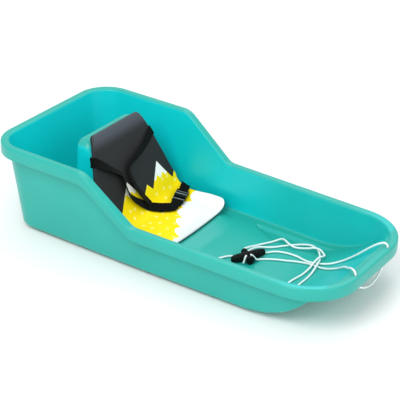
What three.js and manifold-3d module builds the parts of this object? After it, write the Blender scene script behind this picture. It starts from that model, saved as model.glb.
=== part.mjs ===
// A baby pull sled: a moulded tub with a raised rear, a bent foam seat pad, a three point
// webbing harness with a side release buckle, and a pull rope with a toggle handle.
// Millimetres, +Z up. +X points to the nose, and the runners stand on z = 0.
// A station runs along the sled from the rear edge of the rim: x = station - half the length.
import * as THREE from 'three';
import { mergeVertices } from 'three/addons/utils/BufferGeometryUtils.js';
import Module from 'manifold-3d';

const wasm = await Module();
wasm.setup();

// Tub rim
const tubLength = 790;
const rearHalfWidth = 185;
const noseTaper = 9.5;
const rearRimHeight = 193;
const frontRimHeight = 105.7;
const noseDrop = 1.5;
const rampTopStation = 242.4;
const rampFootStation = 353.6;
const rampTopRounding = 14;
const rampFootRounding = 10;
const rearCornerRadius = 70;
const frontCornerRadius = 105;
const rimWidth = 17.4;
const rimOuterFillet = 4;
const rimInnerFillet = 5;
const skirtDepth = 25;

// Tub shell
const shell = 3;
const sideLeanShare = 0.085;
const rearLeanShare = 0.13;
const runnerDepth = 6;
const footRadius = 6;
const noseFootInset = 8.6;
const noseLedge = 3;
const rearFootCornerRadius = 45;
const frontFootCornerRadius = 80;
const bowStation = 590;
const bowRadius = 197;

// Raised seat floor
const seatRise = 10.5;
const seatRearStation = 212;
const seatRearBlend = 18;
const seatFrontStation = 368;
const seatFrontBlend = 47;

// Runners, sunk channels inside and ridges below
const runnerOuter = 133;
const runnerInner = 96;
const runnerFlank = 4;
const runnerFrontStart = 440;
const runnerFrontSweep = 60;
const runnerFrontEnd = 650;
const runnerFrontFade = 50;
const runnerRearStart = 135;
const runnerRearEnd = 235;
const runnerEndBlend = 14;

// Rows of the floor mesh
const straightRear = 130;
const straightFront = 685;
const straightMargin = 6;
const rearRowCornerShare = 0.33;
const frontRowCornerShare = 0.55;
const floorRowShares = [0.45, 0.19];
const edgeShares = [0, 0.5];

// Backrest, a hollow hump of the tub
const humpBelowPadTop = 11;
const humpRearStation = 148;
const humpRearLeanShare = 0.03;
const humpHalfWidth = 86;
const humpShoulderRadius = 20;
const humpBaseHalfWidth = 92;
const humpFrontEdgeRadius = 8;
const humpRearEdgeRadius = 14;
const humpCornerRadius = 14;
const humpCornerRoomShare = 0.45;
const humpRiseShares = [1, 0.94, 0.7, 0.4, 0.18, 0.05, 0];
const cutOverrun = 4;

// Seat pad, one bent sheet of foam
const padTopStation = 188;
const padTopHeight = 213;
const backLeanShare = 0.37;
const padBendRadius = 38;
const padFrontStation = 378;
const padThickness = 8;
const padTopHalfWidth = 75;
const padHalfWidth = 130;
const padFrontHalfWidth = 138;
const padFrontWidening = 60;
const padWidestDown = 161;
const padWideningShare = 0.82;
const padFrontCorner = 20;
const padTopCorner = 6;
const padCurl = 13;
const padCurlStartShare = 0.7;
const padFrontBow = 6;
const padStrapGap = 2.4;
const padBackShares = [0, 0.01, 0.02, 0.035, 0.2, 0.4, 0.6, 0.8];
const padSeatShares = [0.25, 0.5, 0.7, 0.8, 0.88, 0.94, 0.98, 1];
const padAcrossShares = [-1, -0.9, -0.8, -0.7, -0.35, 0, 0.35, 0.7, 0.8, 0.9, 1];

// Webbing
const webbing = 1.6;
const webbingWidth = 20;
const touchGap = 0.3;
const strapClearance = 0.5;
const waistLift = 2;
const tiltEdgeOn = -41;
const tiltWaist = 38;
const slotWidth = 4;
const slotMargin = 1.5;
const shoulderSlotAcross = 64;
const shoulderSlotDown = 47;
const hipBeyondBack = 32;
const hipFoldRiseShare = 1.3;
const hipSlotAhead = 1.5;
const hipSlotAcross = 97;
const anchorBarRadius = 2.5;
const anchorCollar = 2.5;

// Side release buckle, measured along its own axis from the middle of the closed buckle
const buckleAhead = 26.5;
const buckleAcross = 91;
const buckleLift = 9.7;
const buckleYaw = THREE.MathUtils.degToRad(107.4);
const bucklePitch = THREE.MathUtils.degToRad(-7.5);
const buckleRoll = THREE.MathUtils.degToRad(7);
const buckleLength = 40;
const housingLength = 24.5;
const housingWidth = 26;
const housingHeight = 9;
const housingWall = 2;
const housingCavityLength = 15.5;
const windowStart = 5.2;
const windowLength = 9.3;
const windowHeight = 4.6;
const strapBar = 3;
const strapBarHeight = 4;
const strapGate = 4.4;
const insertPlateLength = 13;
const insertPlateHeight = 5;
const guideWidth = 5;
const guideLength = 16;
const prongInset = 4.4;
const prongThickness = 2.4;
const prongHeight = 3.8;
const prongHeadLength = 6.5;
const prongHeadReach = 3.6;
const prongTipLength = 3;
const runningGap = 0.5;

// Pull handle
const handleStation = 512.3;
const handleAcross = 0.9;
const handleYaw = THREE.MathUtils.degToRad(60.5);
const handleHalfLength = 37;
const handleHalfHeight = 9.6;
const handleThicknessShare = 0.72;
const handleProfileShares = [
  [0.97, 0],
  [1, 0.32],
  [0.96, 0.65],
  [0.83, 0.87],
  [0.69, 0.97],
  [0.52, 1],
];
const stemOffset = -4;
const stemNeckRadius = 4.2;
const stemNeckLength = 7;
const stemFootRadius = 9.4;
const stemFootLength = 20.5;
const stemFootRim = 1.5;
const stemFootFlange = 4.5;
const knobRadius = 6.8;
const knobLength = 17;
const knobPitch = THREE.MathUtils.degToRad(30);
const knobDomeSteps = 4;

// Rope
const ropeDiameter = 4;
const ropeSides = 8;
const ropeHoleDiameter = 7;
const ropeHoleAcross = 62;
const ropeHoleInset = 8.5;
const knotLength = 12;
const knotRadius = 4.6;
const knotWaistRadius = 3.4;
const knotLumpShares = [0.2, 0.38, 0.62, 0.8];

// Steps of the facets
const roundSteps = 20;
const cornerSteps = 6;
const humpCornerSteps = 4;
const blendSteps = 2;
const longBlendSteps = 4;
const sweepSteps = 7;
const padBendSteps = 8;
const loopSteps = 6;
const nearStrapSteps = 34;
const farStrapSteps = 24;
const bevelSteps = 2;

const half = (value) => value / 2;
const quarterTurn = Math.PI / 2;
const upwards = (first, second) => first - second;
const clamp = THREE.MathUtils.clamp;
const lerp = THREE.MathUtils.lerp;
const smooth = (value, start, blend) => THREE.MathUtils.smoothstep(value, start, start + blend);

// Heights that follow from the driving sizes
const floorHeight = runnerDepth + shell;
const seatHeight = floorHeight + seatRise;
const padSeatTop = seatHeight + touchGap + padThickness;
const humpCrest = padTopHeight - humpBelowPadTop;
const noseStation = tubLength - rimWidth - noseFootInset;
const rampSlope = (rearRimHeight - frontRimHeight) / (rampFootStation - rampTopStation);

// Rounded start of a ramp: zero before, then rising one for one
function knee(distance, rounding) {
  const reach = clamp(distance, -rounding, rounding);
  const rounded = (reach + rounding) ** 2 / (4 * rounding);
  return rounded + Math.max(0, distance - rounding);
}

function rimHeight(station) {
  const fall = knee(station - rampTopStation, rampTopRounding);
  const level = knee(station - rampFootStation, rampFootRounding);
  const frontShare = Math.max(0, station - rampFootStation) / (tubLength - rampFootStation);
  return rearRimHeight - rampSlope * (fall - level) - noseDrop * frontShare;
}

function rimHalfWidth(station) {
  const frontShare = Math.max(0, station - rampFootStation) / (tubLength - rampFootStation);
  const lean = sideLeanShare * (rearRimHeight - rimHeight(station));
  return rearHalfWidth - lean - noseTaper * frontShare;
}

// The bow is an arc that ends in a straight slope up to the nose
const bowRun = noseStation - bowStation;
const noseFloorHeight = rimHeight(tubLength) - rimInnerFillet - noseLedge;
const bowClimb = noseFloorHeight - floorHeight;
const bowReach = Math.hypot(bowRun, bowRadius - bowClimb);
const bowAngle = Math.asin(Math.min(1, bowRadius / bowReach)) - Math.atan2(bowRadius - bowClimb, bowRun);

function bowRise(station) {
  const run = station - bowStation;
  const arcRun = bowRadius * Math.sin(bowAngle);
  if (run <= 0) return 0;
  if (run < arcRun) return bowRadius - Math.sqrt(bowRadius ** 2 - run ** 2);
  return bowRadius * (1 - Math.cos(bowAngle)) + Math.tan(bowAngle) * (run - arcRun);
}

function bowSlope(station) {
  const run = clamp(station - bowStation, 0, bowRadius * Math.sin(bowAngle));
  return run / Math.sqrt(bowRadius ** 2 - run ** 2);
}

function seatRiseAt(station) {
  const rear = smooth(station, seatRearStation, seatRearBlend);
  return seatRise * (rear - smooth(station, seatFrontStation, seatFrontBlend));
}

// How deep the floor is sunk into a runner
function runnerSink(station, across) {
  const rise = clamp((Math.abs(across) - runnerInner) / runnerFlank, 0, 1);
  const fall = clamp((runnerOuter - Math.abs(across)) / runnerFlank, 0, 1);
  const sweepShare = (runnerOuter - Math.abs(across)) / (runnerOuter - runnerInner);
  const frontStart = runnerFrontStart + runnerFrontSweep * sweepShare;
  const front = smooth(station, frontStart, runnerEndBlend);
  const fade = smooth(station, runnerFrontEnd - runnerFrontFade, runnerFrontFade);
  const rear = smooth(station, runnerRearStart, runnerEndBlend);
  const rearEnd = smooth(station, runnerRearEnd - runnerEndBlend, runnerEndBlend);
  return runnerDepth * rise * fall * (front - fade + rear - rearEnd);
}

// The raised seat floor slopes down to the low floor over the width of a runner
function seatSpreadShare(across) {
  const flank = runnerOuter - runnerInner - 2 * runnerFlank;
  return clamp((runnerOuter - runnerFlank - Math.abs(across)) / flank, 0, 1);
}

const lowFloor = (station) => floorHeight + bowRise(station);

function floorAt(station, across) {
  const rise = seatRiseAt(station) * seatSpreadShare(across);
  return lowFloor(station) + rise - runnerSink(station, across);
}

function place(station, across, height) {
  return new THREE.Vector3(station - half(tubLength), across, height);
}

// Stations that every ring of the tub mesh shares along its straight sides
function spread(start, end, count) {
  return Array.from({ length: count + 1 }, (unused, index) => lerp(start, end, index / count));
}

const sideStations = [
  ...spread(runnerRearStart, runnerRearStart + runnerEndBlend, blendSteps),
  ...spread(runnerRearEnd - runnerEndBlend, runnerRearEnd, blendSteps),
  ...spread(seatRearStation, seatRearStation + seatRearBlend, blendSteps),
  rampTopStation - rampTopRounding,
  rampTopStation + rampTopRounding,
  half(rampTopStation + rampFootStation),
  rampFootStation - rampFootRounding,
  rampFootStation,
  rampFootStation + rampFootRounding,
  ...spread(seatFrontStation, seatFrontStation + seatFrontBlend, longBlendSteps),
  ...spread(runnerFrontStart, runnerFrontStart + runnerFrontSweep + runnerEndBlend, sweepSteps),
  half(runnerFrontStart + bowStation),
  bowStation,
  ...spread(runnerFrontEnd - runnerFrontFade, runnerFrontEnd, longBlendSteps),
  half(runnerFrontEnd + straightFront),
]
  .filter((station) => station > straightRear + straightMargin)
  .filter((station) => station < straightFront - straightMargin)
  .sort(upwards)
  .filter((station, index, list) => index === 0 || station - list[index - 1] > runnerFlank);

// Half a ring in plan, from the middle of the rear to the middle of the nose.
// Each point holds its station, its distance across and the inward direction.
function halfRing(rear, front, halfWidthAt, rearRadius, frontRadius) {
  const rearSide = rear + rearRadius;
  const frontSide = front - frontRadius;
  const rearFlat = halfWidthAt(rearSide) - rearRadius;
  const frontFlat = halfWidthAt(frontSide) - frontRadius;
  const ring = edgeShares.map((share) => [rear, share * rearFlat, 1, 0]);
  for (let step = 0; step <= cornerSteps; step += 1) {
    const turn = (step / cornerSteps) * quarterTurn;
    const [sine, cosine] = [Math.sin(turn), Math.cos(turn)];
    ring.push([rearSide - rearRadius * cosine, rearFlat + rearRadius * sine, cosine, -sine]);
  }
  sideStations.forEach((station) => ring.push([station, halfWidthAt(station), 0, -1]));
  for (let step = 0; step <= cornerSteps; step += 1) {
    const turn = (step / cornerSteps) * quarterTurn;
    const [sine, cosine] = [Math.sin(turn), Math.cos(turn)];
    ring.push([frontSide + frontRadius * sine, frontFlat + frontRadius * cosine, -sine, -cosine]);
  }
  [...edgeShares].reverse().forEach((share) => ring.push([front, share * frontFlat, -1, 0]));
  return ring;
}

// A row of the rim: a ring at an inset from the rim's outer edge, a drop below its top
function rimRow(inset, drop) {
  const ring = halfRing(
    inset,
    tubLength - inset,
    (station) => rimHalfWidth(station) - inset,
    rearCornerRadius - inset,
    frontCornerRadius - inset,
  );
  return ring.map(([station, across]) => [station, across, rimHeight(station) - drop]);
}

// Where the wall's inner face meets the foot fillet
const wallTop = (station) => rimHeight(station) - rimInnerFillet;
const footRadiusAt = (station) => Math.min(footRadius, half(wallTop(station) - lowFloor(station)));
const wallFoot = (station) => lowFloor(station) + Math.max(0, footRadiusAt(station));

const footRing = halfRing(
  rimWidth + rearLeanShare * (wallTop(0) - wallFoot(0)),
  noseStation,
  (station) => rimHalfWidth(station) - rimWidth - sideLeanShare * (wallTop(station) - wallFoot(station)),
  rearFootCornerRadius,
  frontFootCornerRadius,
);

// A row of the wall between its top and its foot, on the inner face or a shell outside it
function wallRow(share, offset) {
  const top = rimRow(rimWidth - offset, rimInnerFillet);
  return top.map(([station, across, height], index) => {
    const [footStation, footAcross, inwardX, inwardY] = footRing[index];
    return [
      lerp(station, footStation - inwardX * offset, share),
      lerp(across, footAcross - inwardY * offset, share),
      lerp(height, wallFoot(footStation), share),
    ];
  });
}

function footRow(turn, offset) {
  return footRing.map(([station, across, inwardX, inwardY]) => {
    const radius = Math.max(0, footRadiusAt(station));
    const inset = radius - (radius + offset) * Math.cos(turn);
    return [
      station + inwardX * inset,
      across + inwardY * inset,
      wallFoot(station) - (radius + offset) * Math.sin(turn),
    ];
  });
}

// A row of the floor at a distance across, on top or below, where flanks are moved outwards
function floorRow(across, flankShift, below) {
  const rearRadius = rearRowCornerShare * across;
  const frontRadius = frontRowCornerShare * across;
  const ring = halfRing(
    straightRear - rearRadius,
    straightFront + frontRadius,
    () => across,
    rearRadius,
    frontRadius,
  );
  return ring.map(([station, distance, inwardX, inwardY]) => {
    const thickness = below ? shell * Math.hypot(1, bowSlope(station)) : 0;
    return [
      station - inwardX * flankShift,
      distance - inwardY * flankShift,
      floorAt(station, across) - thickness,
    ];
  });
}

const flankShift = half(shell);
const floorRows = [
  [runnerOuter, flankShift],
  [runnerOuter - runnerFlank, flankShift],
  [runnerInner + runnerFlank, -flankShift],
  [runnerInner, -flankShift],
  ...floorRowShares.map((share) => [share * runnerOuter, 0]),
];

const tubRows = [
  ...[...floorRows].reverse().map(([across]) => floorRow(across, 0, false)),
  footRow(quarterTurn, 0),
  footRow(half(quarterTurn), 0),
  wallRow(1, 0),
  wallRow(half(1), 0),
  wallRow(0, 0),
  rimRow(rimWidth - rimInnerFillet * (1 - Math.SQRT1_2), rimInnerFillet * (1 - Math.SQRT1_2)),
  rimRow(rimWidth - rimInnerFillet, 0),
  rimRow(rimOuterFillet, 0),
  rimRow(rimOuterFillet * (1 - Math.SQRT1_2), rimOuterFillet * (1 - Math.SQRT1_2)),
  rimRow(0, rimOuterFillet),
  rimRow(0, skirtDepth),
  rimRow(shell, skirtDepth),
  rimRow(shell, shell + half(rimOuterFillet)),
  rimRow(shell + half(rimOuterFillet), shell),
  rimRow(rimWidth - shell - half(rimOuterFillet), shell),
  wallRow(0, shell),
  wallRow(half(1), shell),
  wallRow(1, shell),
  footRow(half(quarterTurn), shell),
  footRow(quarterTurn, shell),
  ...floorRows.map(([across, shift]) => floorRow(across, shift, true)),
];

// Closed mesh from rows of half rings, mirrored across the middle
function shellGeometry(rows) {
  const halfCount = rows[0].length;
  const ringCount = 2 * halfCount - 2;
  const positions = [];
  rows.forEach((row) => {
    for (let index = 0; index < ringCount; index += 1) {
      const mirrored = index >= halfCount;
      const [station, across, height] = row[mirrored ? ringCount - index : index];
      positions.push(...place(station, mirrored ? -across : across, height).toArray());
    }
  });
  const faces = [];
  const vertex = (row, index) => row * ringCount + ((index + ringCount) % ringCount);
  for (let row = 0; row < rows.length - 1; row += 1) {
    for (let index = 0; index < ringCount; index += 1) {
      const [a, b] = [vertex(row, index), vertex(row, index + 1)];
      const [c, d] = [vertex(row + 1, index + 1), vertex(row + 1, index)];
      faces.push(a, d, c, a, c, b);
    }
  }
  const last = rows.length - 1;
  for (let index = 0; index < halfCount - 1; index += 1) {
    const [near, nearNext] = [index, index + 1];
    const [far, farNext] = [ringCount - index, ringCount - index - 1];
    faces.push(vertex(0, near), vertex(0, nearNext), vertex(0, farNext));
    faces.push(vertex(last, near), vertex(last, farNext), vertex(last, nearNext));
    if (index > 0) {
      faces.push(vertex(0, near), vertex(0, farNext), vertex(0, far));
      faces.push(vertex(last, near), vertex(last, far), vertex(last, farNext));
    }
  }
  return closedGeometry(positions, faces);
}

// Geometry from points and faces, merged, without faces that have shrunk to a line, facing out
function closedGeometry(positions, faces) {
  const raw = new THREE.BufferGeometry();
  raw.setAttribute('position', new THREE.Float32BufferAttribute(positions, 3));
  raw.setIndex(faces);
  const merged = mergeVertices(raw);
  const order = merged.index.array;
  const kept = [];
  for (let index = 0; index < order.length; index += 3) {
    const [a, b, c] = order.slice(index, index + 3);
    if (a !== b && b !== c && c !== a) kept.push(a, b, c);
  }
  merged.setIndex(kept);
  if (signedVolume(merged) < 0) merged.setIndex(kept.reverse());
  return merged;
}

function signedVolume(geometry) {
  const position = geometry.getAttribute('position');
  const order = geometry.index.array;
  const corner = (index) => new THREE.Vector3().fromBufferAttribute(position, order[index]);
  let volume = 0;
  for (let index = 0; index < order.length; index += 3) {
    volume += corner(index).dot(corner(index + 1).cross(corner(index + 2)));
  }
  return volume;
}

// Solids for joins and cuts
function solid(geometry, matrix) {
  const bare = geometry.clone();
  bare.deleteAttribute('normal');
  bare.deleteAttribute('uv');
  if (matrix) bare.applyMatrix4(matrix);
  const merged = mergeVertices(bare);
  return new wasm.Manifold(
    new wasm.Mesh({
      numProp: 3,
      vertProperties: new Float32Array(merged.getAttribute('position').array),
      triVerts: new Uint32Array(merged.index.array),
    }),
  );
}

function geometryOf(body) {
  const mesh = body.getMesh();
  const geometry = new THREE.BufferGeometry();
  geometry.setAttribute('position', new THREE.Float32BufferAttribute(mesh.vertProperties, 3));
  geometry.setIndex(Array.from(mesh.triVerts));
  return geometry;
}

const boxAt = (length, width, height, x, y, z) =>
  new THREE.BoxGeometry(length, width, height).translate(x, y, z);

// Rings of equal count joined in order and closed with a fan at each end
function loft(rings) {
  const positions = rings.flat().flatMap((point) => point.toArray());
  const count = rings[0].length;
  const faces = [];
  for (let row = 0; row < rings.length - 1; row += 1) {
    for (let index = 0; index < count; index += 1) {
      const next = (index + 1) % count;
      const [a, b] = [row * count + index, row * count + next];
      faces.push(a, b, b + count, a, b + count, a + count);
    }
  }
  const last = (rings.length - 1) * count;
  for (let index = 1; index < count - 1; index += 1) {
    faces.push(0, index + 1, index);
    faces.push(last, last + index, last + index + 1);
  }
  return closedGeometry(positions, faces);
}

// Backrest hump
const backSlope = Math.hypot(1, backLeanShare);
const padBackStation = (height) => padTopStation + backLeanShare * (padTopHeight - height);
const humpFrontStation = (height) => padBackStation(height) - (padThickness + padStrapGap) * backSlope;

function humpSection(height, inset) {
  const top = humpCrest - inset;
  const roundedInset = (outerRadius) => {
    const radius = outerRadius - inset;
    const rise = clamp(height - (top - radius), 0, radius);
    return inset + radius - Math.sqrt(radius ** 2 - rise ** 2);
  };
  const spreadShare = (humpCrest - height) / (humpCrest - floorHeight);
  const bareHalfWidth = lerp(humpHalfWidth, humpBaseHalfWidth, spreadShare);
  const halfWidth = bareHalfWidth - roundedInset(humpShoulderRadius);
  const bareRear = humpRearStation - humpRearLeanShare * (humpCrest - height);
  const rear = bareRear + roundedInset(humpRearEdgeRadius);
  const front = humpFrontStation(height) - roundedInset(humpFrontEdgeRadius);
  const radius = Math.min(humpCornerRadius - inset, humpCornerRoomShare * (front - rear));
  const corners = [
    [front - radius, halfWidth - radius, 0],
    [rear + radius, halfWidth - radius, 1],
    [rear + radius, radius - halfWidth, 2],
    [front - radius, radius - halfWidth, 3],
  ];
  return corners.flatMap(([station, across, quarter]) =>
    spread(0, 1, humpCornerSteps).map((share) => {
      const turn = (quarter + share) * quarterTurn;
      return place(station + radius * Math.cos(turn), across + radius * Math.sin(turn), height);
    }),
  );
}

function humpSolid(inset, foot) {
  const top = humpCrest - inset;
  const heights = [
    foot,
    half(foot + top),
    ...humpRiseShares.map((share) => top - (humpShoulderRadius - inset) * share).sort(upwards),
  ];
  return solid(loft(heights.map((height) => humpSection(height, inset))));
}

// Pad profile: distance down the face from the top edge
const backAngle = Math.atan2(1, backLeanShare);
const bendTurn = backAngle;
const backFootStation = padBackStation(padSeatTop);
const bendTangent = padBendRadius * Math.tan(half(bendTurn));
const backDown = (padTopHeight - padSeatTop) * backSlope - bendTangent;
const bendDown = padBendRadius * bendTurn;
const seatStation = backFootStation + bendTangent;
const padLengthDown = backDown + bendDown + padFrontStation - seatStation;

// Places on the seat that follow the foot of the pad's back
const buckleStation = backFootStation + buckleAhead;
const hipSlotStation = backFootStation + hipSlotAhead;
const hipDown = backDown + hipBeyondBack;

// Point of the pad's middle face and its outward turn from the vertical
function padProfile(down) {
  const lean = new THREE.Vector2(backLeanShare, -1).divideScalar(backSlope);
  if (down <= backDown) {
    const height = padTopHeight + down * lean.y;
    return { station: padBackStation(height), height, turn: bendTurn };
  }
  if (down <= backDown + bendDown) {
    const turn = bendTurn - (down - backDown) / padBendRadius;
    return {
      station: seatStation - padBendRadius * Math.sin(turn),
      height: padSeatTop + padBendRadius * (1 - Math.cos(turn)),
      turn,
    };
  }
  return { station: seatStation + down - backDown - bendDown, height: padSeatTop, turn: 0 };
}

// Half width before the corners are cut
function padFullHalfWidth(down) {
  const share = clamp(down / padWidestDown, 0, 1) ** padWideningShare;
  const frontShare = smooth(down, backDown + bendDown, padFrontWidening);
  return lerp(padTopHalfWidth, padHalfWidth, share) + (padFrontHalfWidth - padHalfWidth) * frontShare;
}

function padHalfWidthAt(down) {
  const topCut = Math.max(0, padTopCorner - down);
  const top = padTopCorner - Math.sqrt(Math.max(0, padTopCorner ** 2 - topCut ** 2));
  const frontCut = Math.max(0, down - (padLengthDown - padFrontCorner));
  const front = padFrontCorner - Math.sqrt(Math.max(0, padFrontCorner ** 2 - frontCut ** 2));
  return padFullHalfWidth(down) - top - front;
}

// Lift of the pad's side edges above its middle
function padEdgeLift(down, across) {
  const curledHalfWidth = Math.max(padHalfWidth, padFullHalfWidth(down));
  const beyond = Math.max(0, Math.abs(across) / curledHalfWidth - padCurlStartShare);
  const rise = (beyond / (1 - padCurlStartShare)) ** 2;
  return padCurl * rise * smooth(down, backDown - bendDown, 2 * bendDown);
}

const padNormal = (down) => {
  const { turn } = padProfile(down);
  return new THREE.Vector3(Math.sin(turn), 0, Math.cos(turn));
};

function padPoint(down, across, lift) {
  const { station, height } = padProfile(down);
  const point = place(station, across, height);
  point.z += padEdgeLift(down, across);
  return point.addScaledVector(padNormal(down), lift);
}

function padGeometry() {
  const seatDown = backDown + bendDown;
  const downs = [
    ...padBackShares.map((share) => share * backDown),
    ...spread(backDown, seatDown, padBendSteps),
    ...padSeatShares.map((share) => lerp(seatDown, padLengthDown, share)),
  ];
  const rows = downs.map((down) => {
    const width = padHalfWidthAt(down);
    const row = (lift) =>
      padAcrossShares.map((acrossShare) => {
        const bow = padFrontBow * acrossShare ** 2 * smooth(down, backDown + bendDown, padHalfWidth);
        return padPoint(down - bow, acrossShare * width, lift);
      });
    return [...row(0), ...row(-padThickness).reverse()];
  });
  return loft(rows);
}

// Webbing: a flat band through frames, each a centre and the direction across the band
function band(frames, width) {
  const rings = frames.map(({ at, across }, index) => {
    const before = frames[Math.max(0, index - 1)].at;
    const after = frames[Math.min(frames.length - 1, index + 1)].at;
    const along = after.clone().sub(before).normalize();
    const up = along.clone().cross(across).normalize();
    const corner = (side, level) =>
      at
        .clone()
        .addScaledVector(across, side * half(width))
        .addScaledVector(up, level * half(webbing));
    return [corner(-1, -1), corner(1, -1), corner(1, 1), corner(-1, 1)];
  });
  return loft(rings);
}

// Frames along the pad's face through points of down, across, tilt in degrees and extra lift
function faceFrames(points, steps) {
  const route = new THREE.CatmullRomCurve3(
    points.map(([down, across]) => new THREE.Vector3(down, across, 0)),
  );
  const tilts = new THREE.CatmullRomCurve3(
    points.map(([, , tilt, extra]) => new THREE.Vector3(tilt, extra, 0)),
  );
  const centres = spread(0, 1, steps).map((share) => {
    const { x: down, y: across } = route.getPoint(share);
    const { x: degrees, y: extra } = tilts.getPoint(share);
    const tilt = THREE.MathUtils.degToRad(degrees);
    const lift = strapClearance + half(webbing) + half(webbingWidth) * Math.abs(Math.sin(tilt)) + extra;
    return { down, tilt, at: padPoint(down, across, lift) };
  });
  return centres.map(({ down, tilt, at }, index) => {
    const before = centres[Math.max(0, index - 1)].at;
    const after = centres[Math.min(steps, index + 1)].at;
    const along = after.clone().sub(before).normalize();
    const flat = padNormal(down).cross(along).normalize();
    const raised = along.clone().cross(flat).normalize();
    return { at, across: flat.multiplyScalar(Math.cos(tilt)).addScaledVector(raised, Math.sin(tilt)) };
  });
}

// A sewn loop round an anchor bar, as turns from its cut end to where the strap runs straight
const loopRadius = anchorBarRadius + touchGap + half(webbing);
const loopTurns = spread(0, 3 * quarterTurn, loopSteps);

// Shoulder strap behind the pad: loop, slot, the gap behind the pad and the fold over its edge
const slotLift = -padThickness - padStrapGap;
const gapLift = -padThickness - half(padStrapGap);
const shellLift = shell / backSlope;
const anchorCollarRadius = anchorBarRadius + 2 * touchGap + webbing;
const shoulderAnchorLift = slotLift - shellLift - touchGap - anchorCollarRadius;
const edgeSpread = padHalfWidthAt(shoulderSlotDown + webbingWidth) - padHalfWidthAt(shoulderSlotDown);

function shoulderLead(side) {
  const down = shoulderSlotDown;
  const downward = new THREE.Vector3(backLeanShare, 0, -1).normalize();
  const skewed = downward.clone().add(new THREE.Vector3(0, (side * edgeSpread) / webbingWidth, 0));
  const edge = padHalfWidthAt(down);
  const off = strapClearance + half(webbing);
  const rows = loopTurns.map((turn) => [
    shoulderSlotAcross + loopRadius + loopRadius * Math.sin(turn),
    shoulderAnchorLift + loopRadius * Math.cos(turn),
    downward,
  ]);
  rows.push([shoulderSlotAcross, slotLift - shellLift, downward]);
  rows.push([shoulderSlotAcross, gapLift - half(webbing), downward]);
  rows.push([shoulderSlotAcross + half(webbing), gapLift, downward]);
  rows.push([half(shoulderSlotAcross + edge), gapLift, skewed]);
  rows.push([edge + strapClearance, gapLift, skewed]);
  rows.push([edge + off, strapClearance + gapLift, skewed]);
  rows.push([edge + off, strapClearance, skewed]);
  rows.push([edge + strapClearance, off, skewed]);
  return rows.map(([across, lift, direction]) => ({
    at: padPoint(down, side * across, lift),
    across: direction.clone().multiplyScalar(side),
  }));
}

// Places on the pad's face, down and across, with the webbing's tilt in degrees.
// The near strap goes on as the waist band, and the far strap ends against it.
const farStrapShares = [
  [0.161, 0.66, -10],
  [0.193, 0.526, -20],
  [0.224, 0.362, -26],
  [0.25, 0.18, -36],
  [0.268, 0.02, tiltEdgeOn],
  [0.284, -0.062, -36],
  [0.306, -0.086, -29],
  [0.342, -0.094, -28],
  [0.402, -0.06, -29],
  [0.45, -0.027, -30],
  [0.528, 0.038, -18],
];
const nearStrapShares = [
  [0.172, -0.66, -12],
  [0.212, -0.545, -28],
  [0.252, -0.431, -43],
  [0.284, -0.34, -47],
  [0.311, -0.285, tiltEdgeOn],
  [0.354, -0.268, tiltEdgeOn],
  [0.403, -0.266, tiltEdgeOn],
  [0.456, -0.244, tiltEdgeOn],
  [0.5, -0.17, -34],
];
const waistShares = [
  [0.548, -0.05, -24],
  [0.6, 0.09, 4],
  [0.655, 0.19, 30],
  [0.705, 0.27, tiltWaist],
  [0.733, 0.37, 26],
];

const onFace = (shares, extra) =>
  shares.map(([downShare, acrossShare, tilt]) => [
    downShare * padLengthDown,
    acrossShare * padHalfWidth,
    tilt,
    extra,
  ]);

// Side release buckle, in its own frame: x along the buckle to the housing's strap bar
const housingMouth = half(buckleLength) - housingLength;
const cavityWidth = housingWidth - 2 * housingWall;
const cavityHeight = housingHeight - 2 * housingWall;
const insertRear = -half(buckleLength);
const insertFace = insertRear + insertPlateLength;
const insertWidth = housingWidth - runningGap;
const gateWidth = webbingWidth + 2 * strapClearance;

function housingGeometry() {
  const rimHalf = half(housingHeight) - half(housingWall);
  const outline = new THREE.Shape();
  const [left, right] = [housingMouth, half(buckleLength)];
  const side = half(housingWidth);
  outline.moveTo(left, -side);
  outline.lineTo(right - housingWall, -side);
  outline.lineTo(right, -side + housingWall);
  outline.lineTo(right, side - housingWall);
  outline.lineTo(right - housingWall, side);
  outline.lineTo(left, side);
  outline.closePath();
  const body = new THREE.ExtrudeGeometry(outline, {
    depth: 2 * rimHalf,
    bevelEnabled: true,
    bevelThickness: half(housingWall),
    bevelSize: half(housingWall),
    bevelOffset: -half(housingWall),
    bevelSegments: bevelSteps,
  }).translate(0, 0, -rimHalf);
  const cavity = boxAt(
    housingCavityLength + cutOverrun,
    cavityWidth,
    cavityHeight,
    housingMouth + half(housingCavityLength - cutOverrun),
    0,
    0,
  );
  const windows = boxAt(
    windowLength,
    housingWidth + 2 * cutOverrun,
    windowHeight,
    housingMouth + windowStart + half(windowLength),
    0,
    0,
  );
  const gate = boxAt(
    strapGate,
    gateWidth,
    housingHeight + 2 * cutOverrun,
    right - strapBar - half(strapGate),
    0,
    0,
  );
  const reliefs = [-1, 1].map((level) =>
    boxAt(
      strapBar + cutOverrun,
      gateWidth,
      housingHeight,
      right - strapBar + half(strapBar + cutOverrun) - runningGap,
      0,
      level * half(housingHeight + strapBarHeight),
    ),
  );
  return geometryOf(
    [cavity, windows, gate, ...reliefs].reduce(
      (rest, cut) => rest.subtract(solid(cut)),
      solid(body),
    ),
  );
}

function insertGeometry() {
  const middle = insertRear + half(insertPlateLength);
  const plate = boxAt(insertPlateLength, insertWidth, insertPlateHeight, middle, 0, 0);
  const gate = boxAt(
    strapGate,
    gateWidth,
    insertPlateHeight + 2 * cutOverrun,
    insertRear + strapBar + half(strapGate),
    0,
    0,
  );
  const guide = boxAt(
    guideLength + strapBar,
    guideWidth,
    prongHeight,
    insertFace + half(guideLength - strapBar),
    0,
    0,
  );
  return geometryOf(solid(plate).add(solid(guide)).subtract(solid(gate)));
}

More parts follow.
